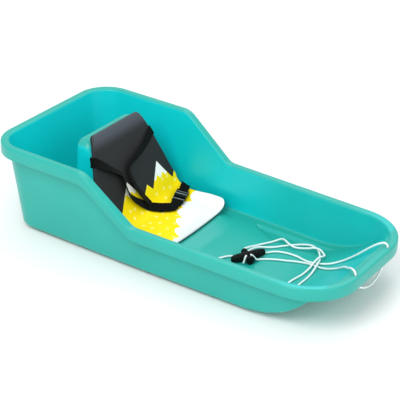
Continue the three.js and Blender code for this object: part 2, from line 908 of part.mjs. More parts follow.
// A sprung arm with a hooked head that fills the window on its side
function prongGeometry(side) {
  const root = insertFace + touchGap;
  const inner = half(housingWidth) - prongInset - prongThickness;
  const outer = inner + prongThickness;
  const hook = housingMouth + windowStart + runningGap;
  const head = hook + prongHeadLength;
  const tip = head + prongTipLength;
  const outline = new THREE.Shape();
  outline.moveTo(root, side * inner);
  outline.lineTo(head, side * inner);
  outline.lineTo(tip, side * (inner + half(prongThickness)));
  outline.lineTo(head, side * (outer + prongHeadReach));
  outline.lineTo(hook, side * (outer + prongHeadReach));
  outline.lineTo(hook, side * outer);
  outline.lineTo(root, side * outer);
  outline.closePath();
  return new THREE.ExtrudeGeometry(outline, {
    depth: prongHeight,
    bevelEnabled: false,
  }).translate(0, 0, -half(prongHeight));
}

// Frame of the buckle on the pad
const buckleTurn = new THREE.Euler(buckleRoll, bucklePitch, buckleYaw, 'ZYX');
const bucklePlace = place(buckleStation, buckleAcross, padSeatTop + buckleLift);
const buckleMatrix = new THREE.Matrix4().compose(
  bucklePlace,
  new THREE.Quaternion().setFromEuler(buckleTurn),
  new THREE.Vector3(1, 1, 1),
);
const fromBuckle = (x, y, z) => new THREE.Vector3(x, y, z).applyMatrix4(buckleMatrix);
const buckleAcrossAxis = new THREE.Vector3(0, 1, 0).transformDirection(buckleMatrix);

// Webbing round a strap bar of the buckle, from its cut end below the bar, through the gate
// and over the bar. Outward is the way along the buckle in which the strap leaves.
function barFrames(outward, barHeight) {
  const middle = outward * (half(buckleLength) - half(strapBar));
  const [length, height] = [half(strapBar), half(barHeight)];
  const off = touchGap + half(webbing);
  const corner = touchGap;
  const tail = length + strapGate;
  const turns = [
    [-length - corner, -height - off],
    [-length - off, -height - corner],
    [-length - off, height + corner],
    [-length - corner, height + off],
  ];
  const points = [[tail, -height - off], ...turns, [tail, height + off]];
  return points.map(([along, z]) => ({
    at: fromBuckle(middle + outward * along, 0, z),
    across: buckleAcrossAxis.clone(),
  }));
}

// Near shoulder strap and waist band in one length
function nearStrapFrames() {
  const points = [...onFace(nearStrapShares, 0), ...onFace(waistShares, waistLift)];
  const face = faceFrames(points, nearStrapSteps);
  return [...shoulderLead(-1), ...face, ...barFrames(-1, insertPlateHeight).reverse()];
}

function farStrapFrames() {
  return [...shoulderLead(1), ...faceFrames(onFace(farStrapShares, 0), farStrapSteps)];
}

// Hip strap: buckle bar, over the pad's far edge, under the pad and through the seat's slot
const hipYaw = buckleYaw - quarterTurn;
const hipSkew = 1 / Math.cos(hipYaw);

function hipStrapFrames() {
  const edge = padHalfWidthAt(hipDown);
  const off = strapClearance + half(webbing);
  const slope = padNormal(hipDown);
  const foldAcross = new THREE.Vector3(-slope.z, 0, slope.x).multiplyScalar(hipSkew);
  const underAcross = new THREE.Vector3(-Math.cos(hipYaw), Math.sin(hipYaw), 0);
  const under = new THREE.Vector3(-Math.sin(hipYaw), -Math.cos(hipYaw), 0);
  const slot = place(hipSlotStation, hipSlotAcross, seatHeight);
  const hollow = (hipFoldRiseShare * webbingWidth ** 2) / (8 * padBendRadius);
  const fold = [
    [edge + strapClearance, off + hollow],
    [edge + off, strapClearance + hollow],
    [edge + off, -padThickness - strapClearance],
    [edge + strapClearance, -padThickness - off],
  ].map(([across, lift]) => ({ at: padPoint(hipDown, across, lift), across: foldAcross }));
  const seat = (back, rise) => ({
    at: slot.clone().addScaledVector(under, -back).add(new THREE.Vector3(0, 0, rise)),
    across: underAcross,
  });
  const barHeight = -shell - touchGap - anchorCollarRadius;
  const loop = [...loopTurns].reverse().map((turn) =>
    seat(-loopRadius - loopRadius * Math.sin(turn), barHeight + loopRadius * Math.cos(turn)),
  );
  return [
    ...barFrames(1, strapBarHeight),
    ...fold,
    seat(webbingWidth, 2 * off),
    seat(webbing, off),
    seat(half(webbing), off),
    seat(0, half(webbing)),
    seat(0, -shell),
    ...loop,
  ];
}

// Anchor bar with a collar at each end, wider than its slot is long
function anchorGeometry() {
  const inner = half(webbingWidth) + strapClearance;
  const outer = inner + anchorCollar;
  const outline = [
    [0, -outer],
    [anchorCollarRadius, -outer],
    [anchorCollarRadius, -inner],
    [anchorBarRadius, -inner],
    [anchorBarRadius, inner],
    [anchorCollarRadius, inner],
    [anchorCollarRadius, outer],
    [0, outer],
  ].map(([radius, along]) => new THREE.Vector2(radius, along));
  return new THREE.LatheGeometry(outline, roundSteps);
}

// Lays the lathe's axis along a direction at a place
function alongAxis(mesh, at, direction) {
  mesh.position.copy(at);
  mesh.quaternion.setFromUnitVectors(new THREE.Vector3(0, 1, 0), direction.clone().normalize());
  return mesh;
}

function slotSolid(at, direction, length) {
  const depth = 2 * (shell + cutOverrun);
  const box = new THREE.BoxGeometry(slotWidth, length, depth);
  const matrix = new THREE.Matrix4();
  const normal = direction.normal.clone();
  const side = direction.along.clone().cross(normal);
  matrix.makeBasis(side, direction.along, normal).setPosition(at);
  return solid(box, matrix);
}

function tubGeometry() {
  const slotLength = webbingWidth + 2 * slotMargin;
  const downward = new THREE.Vector3(backLeanShare, 0, -1).normalize();
  const shoulderSlots = [-1, 1].map((side) =>
    slotSolid(
      padPoint(shoulderSlotDown, side * shoulderSlotAcross, slotLift - half(shellLift)),
      { along: downward, normal: padNormal(0) },
      slotLength,
    ),
  );
  const hipSlot = slotSolid(
    place(hipSlotStation, hipSlotAcross, seatHeight - half(shell)),
    {
      along: new THREE.Vector3(-Math.cos(hipYaw), Math.sin(hipYaw), 0),
      normal: new THREE.Vector3(0, 0, 1),
    },
    slotLength,
  );
  const holeHeight = 2 * skirtDepth;
  const hole = new THREE.CylinderGeometry(
    half(ropeHoleDiameter),
    half(ropeHoleDiameter),
    holeHeight,
    roundSteps,
  ).rotateX(quarterTurn);
  const holes = [-1, 1].map((side) => {
    const at = place(tubLength - ropeHoleInset, side * ropeHoleAcross, rimHeight(tubLength));
    return solid(hole, new THREE.Matrix4().setPosition(at));
  });
  const tray = solid(shellGeometry(tubRows)).add(humpSolid(0, floorHeight - half(shell)));
  const hollow = humpSolid(shell, -cutOverrun);
  const cuts = [hollow, ...shoulderSlots, hipSlot, ...holes];
  return geometryOf(cuts.reduce((rest, cut) => rest.subtract(cut), tray));
}

// Pull handle: an oval bar that tapers to blunt ends, a foot that flares from a neck in front
// of it, and a domed knob that leans up behind it
function handleGeometry() {
  const turned = (points) =>
    new THREE.LatheGeometry(points.map(([radius, along]) => new THREE.Vector2(radius, along)), roundSteps);
  const side = handleProfileShares.map(([radiusShare, alongShare]) => [
    radiusShare * handleHalfHeight,
    alongShare * handleHalfLength,
  ]);
  const mirrored = side.slice(1).map(([radius, along]) => [radius, -along]);
  const bar = turned([[0, -handleHalfLength], ...mirrored.reverse(), ...side, [0, handleHalfLength]]);
  bar.rotateZ(-quarterTurn).scale(1, handleThicknessShare, 1);
  const foot = turned([
    [0, -stemFootLength],
    [stemFootRadius - stemFootRim, -stemFootLength],
    [stemFootRadius, stemFootRim - stemFootLength],
    [stemFootRadius, stemFootFlange - stemFootLength],
    [stemNeckRadius, -stemNeckLength],
    [stemNeckRadius, 0],
    [0, 0],
  ]);
  const dome = spread(0, quarterTurn, knobDomeSteps).map((turn) => [
    knobRadius * Math.cos(turn),
    knobLength - knobRadius + knobRadius * Math.sin(turn),
  ]);
  const knob = turned([[0, 0], [knobRadius, 0], ...dome.slice(0, -1), [0, knobLength]]);
  knob.rotateX(knobPitch).translate(stemOffset, 0, 0);
  foot.translate(stemOffset, 0, 0);
  return geometryOf(solid(bar).add(solid(foot)).add(solid(knob)));
}

// Rope routes. On the floor a point is its station, its distance across and its lift; on the
// rim and below the lip the height is measured from the rim's top.
const ropeRadius = half(ropeDiameter);
const onFloor = ([station, across, lift]) =>
  place(station, across, lowFloor(station) + ropeRadius + touchGap + lift);
const fromRim = ([station, across, rise]) => place(station, across, rimHeight(tubLength) + rise);

const farStrand = [
  ...[
    [781.5, 62, -1.3],
    [781.5, 62, 3],
    [779, 62, 6.4],
    [774, 61.5, 7.4],
    [765, 60, 3.4],
  ].map(fromRim),
  ...[
    [745, 61, 9],
    [722, 64, 6],
    [700, 68, 3],
    [681, 66, 0.5],
    [662, 60, 0.3],
    [638, 59, 0.2],
    [612, 61, 0],
    [583, 67, 0],
    [558.8, 64.6, 0],
    [543.3, 58.4, 0],
    [534.7, 50.6, 0],
    [528.8, 42.8, 0],
    [523.1, 37.6, 0],
    [515.8, 26.5, 0.3],
    [511.4, 18.6, 1.1],
  ].map(onFloor),
];

const nearStrand = [
  ...[
    [781.5, -62, -1.3],
    [781.5, -62, 3],
    [779, -61, 6.4],
    [774, -58, 7.4],
    [765, -50, 3.4],
  ].map(fromRim),
  ...[
    [754, -38, 8],
    [737, -11, 4.5],
    [719, 11, 4],
    [697, 27, 1.2],
    [676, 34, 0.5],
    [656, 41, 0.3],
    [636, 49, 0.2],
    [614, 53, 0],
    [593, 48, 0],
    [574.6, 39.1, 0],
    [562.8, 34.1, 0],
    [549.7, 26.8, 0],
    [537.2, 18, 0],
    [531.7, 12.3, 0.3],
    [530.1, 5.2, 2.9],
    [527.1, 1.5, 7.5],
    [523.9, -0.9, 12.1],
    [520.5, -3.9, 15.5],
  ].map(onFloor),
];

const stemTurn = [
  [514.9, -10, 14.3],
  [514.8, -13.4, 11.7],
  [515, -16.3, 7.3],
  [514.6, -17.8, 3.1],
  [513.6, -18.9, 0.1],
].map(onFloor);

const lipStretch = [
  [781.5, 62, -1.7],
  [781.5, 61.5, -9],
  [781.5, 56, -21],
  [781.5, 45, -35],
  [781.5, 31, -47.5],
  [781.5, 12, -53.5],
  [781.5, -8, -51.5],
  [781.5, -27, -44],
  [781.5, -43, -34],
  [781.5, -55.5, -20],
  [781.5, -61.5, -9],
  [781.5, -62, -1.7],
].map(fromRim);

const slackLoop = [
  [498.1, 9.5, 15.3],
  [499, 16.4, 13.7],
  [498.6, 34.2, 8],
  [500.6, 48, 4],
  [505.9, 66.1, 1.2],
  [514.2, 83.2, 0],
  [519.9, 96.9, 0],
  [525.4, 106.9, 0.4],
  [536, 102, 3.4],
  [549, 93, 5],
  [566, 90, 3],
  [588, 102, 2.6],
  [601, 108, 5],
  [614, 107, 5],
  [629, 97, 2.6],
  [636, 87, 4],
  [633, 72, 7.6],
  [632, 54, 5.4],
  [634, 34, 2.4],
  [633, 8, 0.3],
  [627, -22, 0.3],
  [627, -47, 0.3],
  [637, -57, 0.3],
  [647, -49, 0.4],
  [651, -22, 0.4],
  [649, 14, 0.6],
  [645.5, 37, 4.6],
  [641.5, 54, 5.8],
  [636, 69, 3],
  [628, 84, 0.3],
  [616, 102, 0.2],
  [602, 116, 0],
  [586, 120.5, 0],
  [571, 113.5, 0],
  [549, 93, 0],
  [538.4, 80.5, 0],
  [530.5, 71.2, 0],
  [522.1, 63.1, 0.2],
  [513.1, 55.8, 1.2],
  [506.6, 44.1, 4],
  [504.9, 28.2, 8],
  [506.4, 9.6, 11.7],
].map(onFloor);

const tailRope = [
  [502.4, 0.8, 0.1],
  [496.4, -1.6, 0.1],
  [487.7, -7, 0.1],
  [479, -10, 0],
  [468, -25, 0],
  [461, -40, 0],
  [457, -53, 0],
].map(onFloor);

// A curve whose steps fall on its hand laid points
class LaidCurve extends THREE.CatmullRomCurve3 {
  getUtoTmapping(share) {
    return share;
  }
}

function ropeGeometry(points) {
  const path = new LaidCurve(points, false, 'centripetal');
  const outline = new THREE.Shape(
    spread(0, 1, ropeSides).slice(1).map((share) => {
      const turn = share * 2 * Math.PI;
      return new THREE.Vector2(ropeRadius * Math.cos(turn), ropeRadius * Math.sin(turn));
    }),
  );
  const steps = points.length - 1;
  return new THREE.ExtrudeGeometry(outline, { steps, extrudePath: path, bevelEnabled: false });
}

function knotGeometry() {
  const lumps = knotLumpShares.map((share) => [knotRadius, share * knotLength]);
  const outline = [
    [0, 0],
    [ropeRadius, 0],
    ...lumps.slice(0, half(lumps.length)),
    [knotWaistRadius, half(knotLength)],
    ...lumps.slice(half(lumps.length)),
    [ropeRadius, knotLength],
    [0, knotLength],
  ].map(([radius, along]) => new THREE.Vector2(radius, along));
  return new THREE.LatheGeometry(outline, roundSteps);
}

// Finishes
const finish = (color, roughness) => new THREE.MeshStandardMaterial({ color, roughness, metalness: 0 });
const tealPlastic = () => finish('#3cc0ac', 0.38);
const foam = () => finish('#38393b', 0.8);
const webbingFabric = () => finish('#141516', 0.85);
const blackPlastic = () => finish('#1a1b1c', 0.45);
const ropeFabric = () => finish('#e9f2f2', 0.8);

const sled = new THREE.Group();

function part(parent, name, geometry, material) {
  const mesh = new THREE.Mesh(geometry, material);
  mesh.name = name;
  parent.add(mesh);
  return mesh;
}

part(sled, 'tub', tubGeometry(), tealPlastic());
part(sled, 'seat_pad', padGeometry(), foam());
part(sled, 'strap_near', band(nearStrapFrames(), webbingWidth), webbingFabric());
part(sled, 'strap_far', band(farStrapFrames(), webbingWidth), webbingFabric());
part(sled, 'hip_strap', band(hipStrapFrames(), webbingWidth), webbingFabric());

// Anchor bars inside the backrest and under the seat
[['near', -1], ['far', 1]].forEach(([name, side]) => {
  const anchor = part(sled, `anchor_${name}`, anchorGeometry(), blackPlastic());
  const at = padPoint(shoulderSlotDown, side * (shoulderSlotAcross + loopRadius), shoulderAnchorLift);
  alongAxis(anchor, at, new THREE.Vector3(backLeanShare, 0, -1));
});
const hipAnchor = part(sled, 'anchor_hip', anchorGeometry(), blackPlastic());
const underSeat = new THREE.Vector3(-Math.sin(hipYaw), -Math.cos(hipYaw), 0);
alongAxis(
  hipAnchor,
  place(hipSlotStation, hipSlotAcross, seatHeight - shell - touchGap - anchorCollarRadius)
    .addScaledVector(underSeat, loopRadius),
  new THREE.Vector3(-Math.cos(hipYaw), Math.sin(hipYaw), 0),
);

const buckle = new THREE.Group();
buckle.position.copy(bucklePlace);
buckle.quaternion.setFromEuler(buckleTurn);
sled.add(buckle);
part(buckle, 'buckle_housing', housingGeometry(), blackPlastic());
part(buckle, 'buckle_insert', insertGeometry(), blackPlastic());
part(buckle, 'prong_near', prongGeometry(1), blackPlastic());
part(buckle, 'prong_far', prongGeometry(-1), blackPlastic());

const handle = part(sled, 'pull_handle', handleGeometry(), blackPlastic());
handle.position.copy(place(handleStation, handleAcross, floorHeight + handleHalfHeight + touchGap));
handle.rotation.z = handleYaw;

part(sled, 'rope_far', ropeGeometry(farStrand), ropeFabric());
part(sled, 'rope_near', ropeGeometry(nearStrand), ropeFabric());
part(sled, 'rope_turn', ropeGeometry(stemTurn), ropeFabric());
part(sled, 'rope_lip', ropeGeometry(lipStretch), ropeFabric());
part(sled, 'rope_loop', ropeGeometry(slackLoop), ropeFabric());
part(sled, 'rope_tail', ropeGeometry(tailRope), ropeFabric());

const tailEnd = tailRope[tailRope.length - 1];
const tailWay = tailEnd.clone().sub(tailRope[tailRope.length - 2]).setZ(0).normalize();
alongAxis(
  part(sled, 'tail_knot', knotGeometry(), ropeFabric()),
  tailEnd.clone().addScaledVector(tailWay, touchGap).setZ(floorHeight + knotRadius + touchGap),
  tailWay,
);

export default sled;
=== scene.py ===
import math

import bmesh
import bpy
import numpy as np
from mathutils import Matrix, Vector


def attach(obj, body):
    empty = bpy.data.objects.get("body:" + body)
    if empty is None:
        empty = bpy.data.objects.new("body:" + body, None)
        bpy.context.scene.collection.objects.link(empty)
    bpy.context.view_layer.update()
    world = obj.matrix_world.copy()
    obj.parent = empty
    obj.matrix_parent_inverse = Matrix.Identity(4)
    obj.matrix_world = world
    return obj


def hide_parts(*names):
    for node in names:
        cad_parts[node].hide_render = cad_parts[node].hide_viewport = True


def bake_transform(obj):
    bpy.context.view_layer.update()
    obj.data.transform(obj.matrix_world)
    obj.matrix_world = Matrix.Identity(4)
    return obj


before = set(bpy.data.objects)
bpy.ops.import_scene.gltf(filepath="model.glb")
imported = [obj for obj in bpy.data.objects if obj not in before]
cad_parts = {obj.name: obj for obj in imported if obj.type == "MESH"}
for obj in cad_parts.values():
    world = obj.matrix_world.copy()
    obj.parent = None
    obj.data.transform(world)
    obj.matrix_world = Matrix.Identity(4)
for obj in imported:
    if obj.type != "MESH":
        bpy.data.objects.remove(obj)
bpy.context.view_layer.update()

MILLIMETRE = 0.001
BODY = "sled"

# Tub rim
TUB_LENGTH = 790.0
REAR_HALF_WIDTH = 185.0
NOSE_TAPER = 9.5
REAR_RIM_HEIGHT = 193.0
FRONT_RIM_HEIGHT = 105.7
NOSE_DROP = 1.5
RAMP_TOP_STATION = 242.4
RAMP_FOOT_STATION = 353.6
RAMP_TOP_ROUNDING = 14.0
RAMP_FOOT_ROUNDING = 10.0
REAR_CORNER_RADIUS = 70.0
FRONT_CORNER_RADIUS = 105.0
RIM_WIDTH = 17.4
RIM_OUTER_FILLET = 4.0
RIM_INNER_FILLET = 5.0
SKIRT_DEPTH = 25.0

# Tub shell
SHELL = 3.0
SIDE_LEAN_SHARE = 0.085
REAR_LEAN_SHARE = 0.13
RUNNER_DEPTH = 6.0
FOOT_RADIUS = 6.0
NOSE_FOOT_INSET = 8.6
NOSE_LEDGE = 3.0
REAR_FOOT_CORNER_RADIUS = 45.0
FRONT_FOOT_CORNER_RADIUS = 80.0
BOW_STATION = 590.0
BOW_RADIUS = 197.0

# Raised seat floor
SEAT_RISE = 10.5
SEAT_REAR_STATION = 212.0
SEAT_REAR_BLEND = 18.0
SEAT_FRONT_STATION = 368.0
SEAT_FRONT_BLEND = 47.0

# Runners
RUNNER_OUTER = 133.0
RUNNER_INNER = 96.0
RUNNER_FLANK = 4.0
RUNNER_FRONT_START = 440.0
RUNNER_FRONT_SWEEP = 60.0
RUNNER_FRONT_END = 650.0
RUNNER_FRONT_FADE = 50.0
RUNNER_REAR_START = 135.0
RUNNER_REAR_END = 235.0
RUNNER_END_BLEND = 14.0

# Rows of the floor mesh
STRAIGHT_REAR = 130.0
STRAIGHT_FRONT = 685.0
REAR_ROW_CORNER_SHARE = 0.33
FRONT_ROW_CORNER_SHARE = 0.55

# Backrest hump
HUMP_BELOW_PAD_TOP = 11.0
HUMP_REAR_STATION = 148.0
HUMP_REAR_LEAN_SHARE = 0.03
HUMP_HALF_WIDTH = 86.0
HUMP_SHOULDER_RADIUS = 20.0
HUMP_BASE_HALF_WIDTH = 92.0
HUMP_FRONT_EDGE_RADIUS = 8.0
HUMP_REAR_EDGE_RADIUS = 14.0
HUMP_CORNER_RADIUS = 14.0
HUMP_CORNER_ROOM_SHARE = 0.45
HUMP_FOOT_FLARE = 7.0

# Seat pad
PAD_TOP_STATION = 188.0
PAD_TOP_HEIGHT = 213.0
BACK_LEAN_SHARE = 0.37
PAD_BEND_RADIUS = 38.0
PAD_FRONT_STATION = 378.0
PAD_THICKNESS = 8.0
PAD_TOP_HALF_WIDTH = 75.0
PAD_HALF_WIDTH = 130.0
PAD_FRONT_HALF_WIDTH = 138.0
PAD_FRONT_WIDENING = 60.0
PAD_WIDEST_DOWN = 161.0
PAD_WIDENING_SHARE = 0.82
PAD_FRONT_CORNER = 20.0
PAD_TOP_CORNER = 6.0
PAD_CURL = 13.0
PAD_CURL_START_SHARE = 0.7
PAD_FRONT_BOW = 6.0
PAD_STRAP_GAP = 2.4

# Webbing
WEBBING = 1.6
WEBBING_WIDTH = 20.0
TOUCH_GAP = 0.3
STRAP_CLEARANCE = 0.5
WAIST_LIFT = 2.0
SLOT_WIDTH = 4.0
SLOT_MARGIN = 1.5
SHOULDER_SLOT_ACROSS = 64.0
SHOULDER_SLOT_DOWN = 47.0
HIP_BEYOND_BACK = 32.0
HIP_FOLD_RISE_SHARE = 1.3
HIP_SLOT_AHEAD = 1.5
HIP_SLOT_ACROSS = 97.0
ANCHOR_BAR_RADIUS = 2.5

# Side release buckle
BUCKLE_AHEAD = 26.5
BUCKLE_ACROSS = 91.0
BUCKLE_LIFT = 9.7
BUCKLE_YAW = math.radians(107.4)
BUCKLE_PITCH = math.radians(-7.5)
BUCKLE_ROLL = math.radians(7)
BUCKLE_LENGTH = 40.0
STRAP_BAR = 3.0
STRAP_BAR_HEIGHT = 4.0
STRAP_GATE = 4.4
INSERT_PLATE_HEIGHT = 5.0

# Pull handle
HANDLE_STATION = 512.3
HANDLE_ACROSS = 0.9
HANDLE_YAW = math.radians(60.5)
HANDLE_HALF_LENGTH = 37.0
HANDLE_HALF_HEIGHT = 9.6
HANDLE_THICKNESS_SHARE = 0.72
STEM_OFFSET = -4.0
STEM_NECK_RADIUS = 4.2
STEM_NECK_LENGTH = 7.0
STEM_FOOT_RADIUS = 9.4
STEM_FOOT_LENGTH = 20.5
KNOB_RADIUS = 6.8
KNOB_LENGTH = 17.0
KNOB_PITCH = math.radians(30)

# Rope
ROPE_DIAMETER = 4.0
ROPE_HOLE_DIAMETER = 7.0
ROPE_HOLE_ACROSS = 62.0
ROPE_HOLE_INSET = 8.5
KNOT_RADIUS = 4.6
ROPE_BRAID_DEPTH = 0.16
ROPE_BRAID_PITCH = 5.0
ROPE_BRAID_STRANDS = 4


def clamp(value, low, high):
    return max(low, min(high, value))


def lerp(start, end, share):
    return start + (end - start) * share


def smooth(value, start, blend):
    share = clamp((value - start) / blend, 0.0, 1.0)
    return share * share * (3 - 2 * share)


def spread(start, end, count):
    return [lerp(start, end, index / count) for index in range(count + 1)]


FLOOR_HEIGHT = RUNNER_DEPTH + SHELL
SEAT_HEIGHT = FLOOR_HEIGHT + SEAT_RISE
PAD_SEAT_TOP = SEAT_HEIGHT + TOUCH_GAP + PAD_THICKNESS
HUMP_CREST = PAD_TOP_HEIGHT - HUMP_BELOW_PAD_TOP
NOSE_STATION = TUB_LENGTH - RIM_WIDTH - NOSE_FOOT_INSET
RAMP_SLOPE = (REAR_RIM_HEIGHT - FRONT_RIM_HEIGHT) / (RAMP_FOOT_STATION - RAMP_TOP_STATION)


def knee(distance, rounding):
    """Rounded start of a ramp: zero before it, then rising one for one."""
    reach = clamp(distance, -rounding, rounding)
    return (reach + rounding) ** 2 / (4 * rounding) + max(0.0, distance - rounding)


def front_share(station):
    return max(0.0, station - RAMP_FOOT_STATION) / (TUB_LENGTH - RAMP_FOOT_STATION)


def rim_height(station):
    fall = knee(station - RAMP_TOP_STATION, RAMP_TOP_ROUNDING)
    level = knee(station - RAMP_FOOT_STATION, RAMP_FOOT_ROUNDING)
    return REAR_RIM_HEIGHT - RAMP_SLOPE * (fall - level) - NOSE_DROP * front_share(station)


def rim_half_width(station):
    lean = SIDE_LEAN_SHARE * (REAR_RIM_HEIGHT - rim_height(station))
    return REAR_HALF_WIDTH - lean - NOSE_TAPER * front_share(station)


BOW_RUN = NOSE_STATION - BOW_STATION
BOW_CLIMB = rim_height(TUB_LENGTH) - RIM_INNER_FILLET - NOSE_LEDGE - FLOOR_HEIGHT
BOW_ANGLE = math.asin(
    min(1.0, BOW_RADIUS / math.hypot(BOW_RUN, BOW_RADIUS - BOW_CLIMB))
) - math.atan2(BOW_RADIUS - BOW_CLIMB, BOW_RUN)


def bow_rise(station):
    run = station - BOW_STATION
    arc_run = BOW_RADIUS * math.sin(BOW_ANGLE)
    if run <= 0:
        return 0.0
    if run < arc_run:
        return BOW_RADIUS - math.sqrt(BOW_RADIUS**2 - run**2)
    return BOW_RADIUS * (1 - math.cos(BOW_ANGLE)) + math.tan(BOW_ANGLE) * (run - arc_run)


def bow_slope(station):
    run = clamp(station - BOW_STATION, 0.0, BOW_RADIUS * math.sin(BOW_ANGLE))
    return run / math.sqrt(BOW_RADIUS**2 - run**2)


def seat_rise_at(station):
    rear = smooth(station, SEAT_REAR_STATION, SEAT_REAR_BLEND)
    return SEAT_RISE * (rear - smooth(station, SEAT_FRONT_STATION, SEAT_FRONT_BLEND))


def runner_sink(station, across):
    """How deep the floor is sunk into a runner."""
    across = abs(across)
    rise = smooth(across, RUNNER_INNER, RUNNER_FLANK)
    fall = smooth(RUNNER_OUTER - across, 0.0, RUNNER_FLANK)
    sweep_share = (RUNNER_OUTER - across) / (RUNNER_OUTER - RUNNER_INNER)
    front_start = RUNNER_FRONT_START + RUNNER_FRONT_SWEEP * sweep_share
    along = (
        smooth(station, front_start, RUNNER_END_BLEND)
        - smooth(station, RUNNER_FRONT_END - RUNNER_FRONT_FADE, RUNNER_FRONT_FADE)
        + smooth(station, RUNNER_REAR_START, RUNNER_END_BLEND)
        - smooth(station, RUNNER_REAR_END - RUNNER_END_BLEND, RUNNER_END_BLEND)
    )
    return RUNNER_DEPTH * rise * fall * along


def low_floor(station):
    return FLOOR_HEIGHT + bow_rise(station)


def floor_at(station, across):
    flank = RUNNER_OUTER - RUNNER_INNER - 2 * RUNNER_FLANK
    spread_share = clamp((RUNNER_OUTER - RUNNER_FLANK - abs(across)) / flank, 0.0, 1.0)
    rise = seat_rise_at(station) * spread_share
    return low_floor(station) + rise - runner_sink(station, across)


def place(station, across, height):
    return Vector((station - TUB_LENGTH / 2, across, height))


# Camera, at the photograph's angle
CAMERA_TARGET = Vector((0.0, 0.0, 0.106))
CAMERA_DISTANCE = 2.7389
CAMERA_AZIMUTH = math.radians(34.1)
CAMERA_ELEVATION = math.radians(28.8)
CAMERA_ROLL = math.radians(1.3)
CAMERA_LENS = 124.11


def make_camera():
    data = bpy.data.cameras.new("camera")
    data.lens = CAMERA_LENS
    camera = bpy.data.objects.new("camera", data)
    bpy.context.scene.collection.objects.link(camera)
    level = math.cos(CAMERA_ELEVATION)
    back = Vector(
        (
            math.sin(CAMERA_AZIMUTH) * level,
            -math.cos(CAMERA_AZIMUTH) * level,
            math.sin(CAMERA_ELEVATION),
        )
    )
    right = (-back).cross(Vector((0, 0, 1))).normalized()
    up = right.cross(-back)
    turned_right = right * math.cos(CAMERA_ROLL) + up * math.sin(CAMERA_ROLL)
    turned_up = up * math.cos(CAMERA_ROLL) - right * math.sin(CAMERA_ROLL)
    turn = Matrix((turned_right, turned_up, back)).transposed()
    camera.matrix_world = Matrix.Translation(
        CAMERA_TARGET + back * CAMERA_DISTANCE
    ) @ turn.to_4x4()
    bpy.context.scene.camera = camera


make_camera()


# Meshes
def make_piece(name, points, faces, material=None, uvs=None, crease=None, rides=BODY):
    """A mesh piece from points in millimetres, smooth but for edges over the crease angle."""
    mesh = bpy.data.meshes.new(name)
    mesh.from_pydata([Vector(point) * MILLIMETRE for point in points], [], faces)
    mesh.validate()
    if uvs is not None:
        layer = mesh.uv_layers.new(name="lay")
        for loop in mesh.loops:
            layer.data[loop.index].uv = uvs[loop.vertex_index]
    mesh.shade_smooth()
    if crease is not None:
        mesh.set_sharp_from_angle(angle=math.radians(crease))
    piece = bpy.data.objects.new(name, mesh)
    bpy.context.scene.collection.objects.link(piece)
    if material is not None:
        mesh.materials.append(material)
    if rides is not None:
        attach(piece, rides)
    return piece


def grid_faces(rings, columns, caps=True):
    """Quads between closed rings of equal count, with a cap on the first and last ring."""
    faces = []
    for start in range(0, (rings - 1) * columns, columns):
        for column in range(columns):
            right = (column + 1) % columns
            following = start + columns
            faces.append((start + column, start + right, following + right, following + column))
    if caps:
        faces.append(tuple(reversed(range(columns))))
        faces.append(tuple(range((rings - 1) * columns, rings * columns)))
    return faces


LEAST_STEP = 1e-6


def curve_step(start, end):
    """How far the curve's own measure runs from one given point to the next."""
    return max(np.linalg.norm((end - start)[:3]), LEAST_STEP) ** 0.5


def through_points(points, spacing):
    """Points at an even spacing along a smooth curve through the given ones."""
    known = [np.array(point, dtype=float) for point in points]
    known = [2 * known[0] - known[1]] + known + [2 * known[-1] - known[-2]]
    line = []
    for a, b, c, d in zip(known, known[1:], known[2:], known[3:]):
        t0 = 0.0
        t1 = t0 + curve_step(a, b)
        t2 = t1 + curve_step(b, c)
        t3 = t2 + curve_step(c, d)
        count = max(2, int(np.linalg.norm((c - b)[:3]) / spacing * 2))
        for index in range(count):
            t = lerp(t1, t2, index / count)
            a1 = (t1 - t) / (t1 - t0) * a + (t - t0) / (t1 - t0) * b
            a2 = (t2 - t) / (t2 - t1) * b + (t - t1) / (t2 - t1) * c
            a3 = (t3 - t) / (t3 - t2) * c + (t - t2) / (t3 - t2) * d
            b1 = (t2 - t) / (t2 - t0) * a1 + (t - t0) / (t2 - t0) * a2
            b2 = (t3 - t) / (t3 - t1) * a2 + (t - t1) / (t3 - t1) * a3
            line.append((t2 - t) / (t2 - t1) * b1 + (t - t1) / (t2 - t1) * b2)
    line.append(known[-2])
    line = np.array(line)
    steps = np.linalg.norm(np.diff(line[:, :3], axis=0), axis=1)
    reach = np.concatenate([[0.0], np.cumsum(steps)])
    marks = np.linspace(0.0, reach[-1], max(2, int(round(reach[-1] / spacing)) + 1))
    return np.array([np.interp(marks, reach, column) for column in line.T]).T, marks


# Rope routes, as the frame has them. On the floor a point is its station, its distance
# across and its lift; on the rim and below the lip its height is from the rim's top.
def on_floor(points):
    radius = ROPE_DIAMETER / 2
    return [place(s, a, low_floor(s) + radius + TOUCH_GAP + lift) for s, a, lift in points]


def from_rim(points):
    top = rim_height(TUB_LENGTH)
    return [place(s, a, top + rise) for s, a, rise in points]


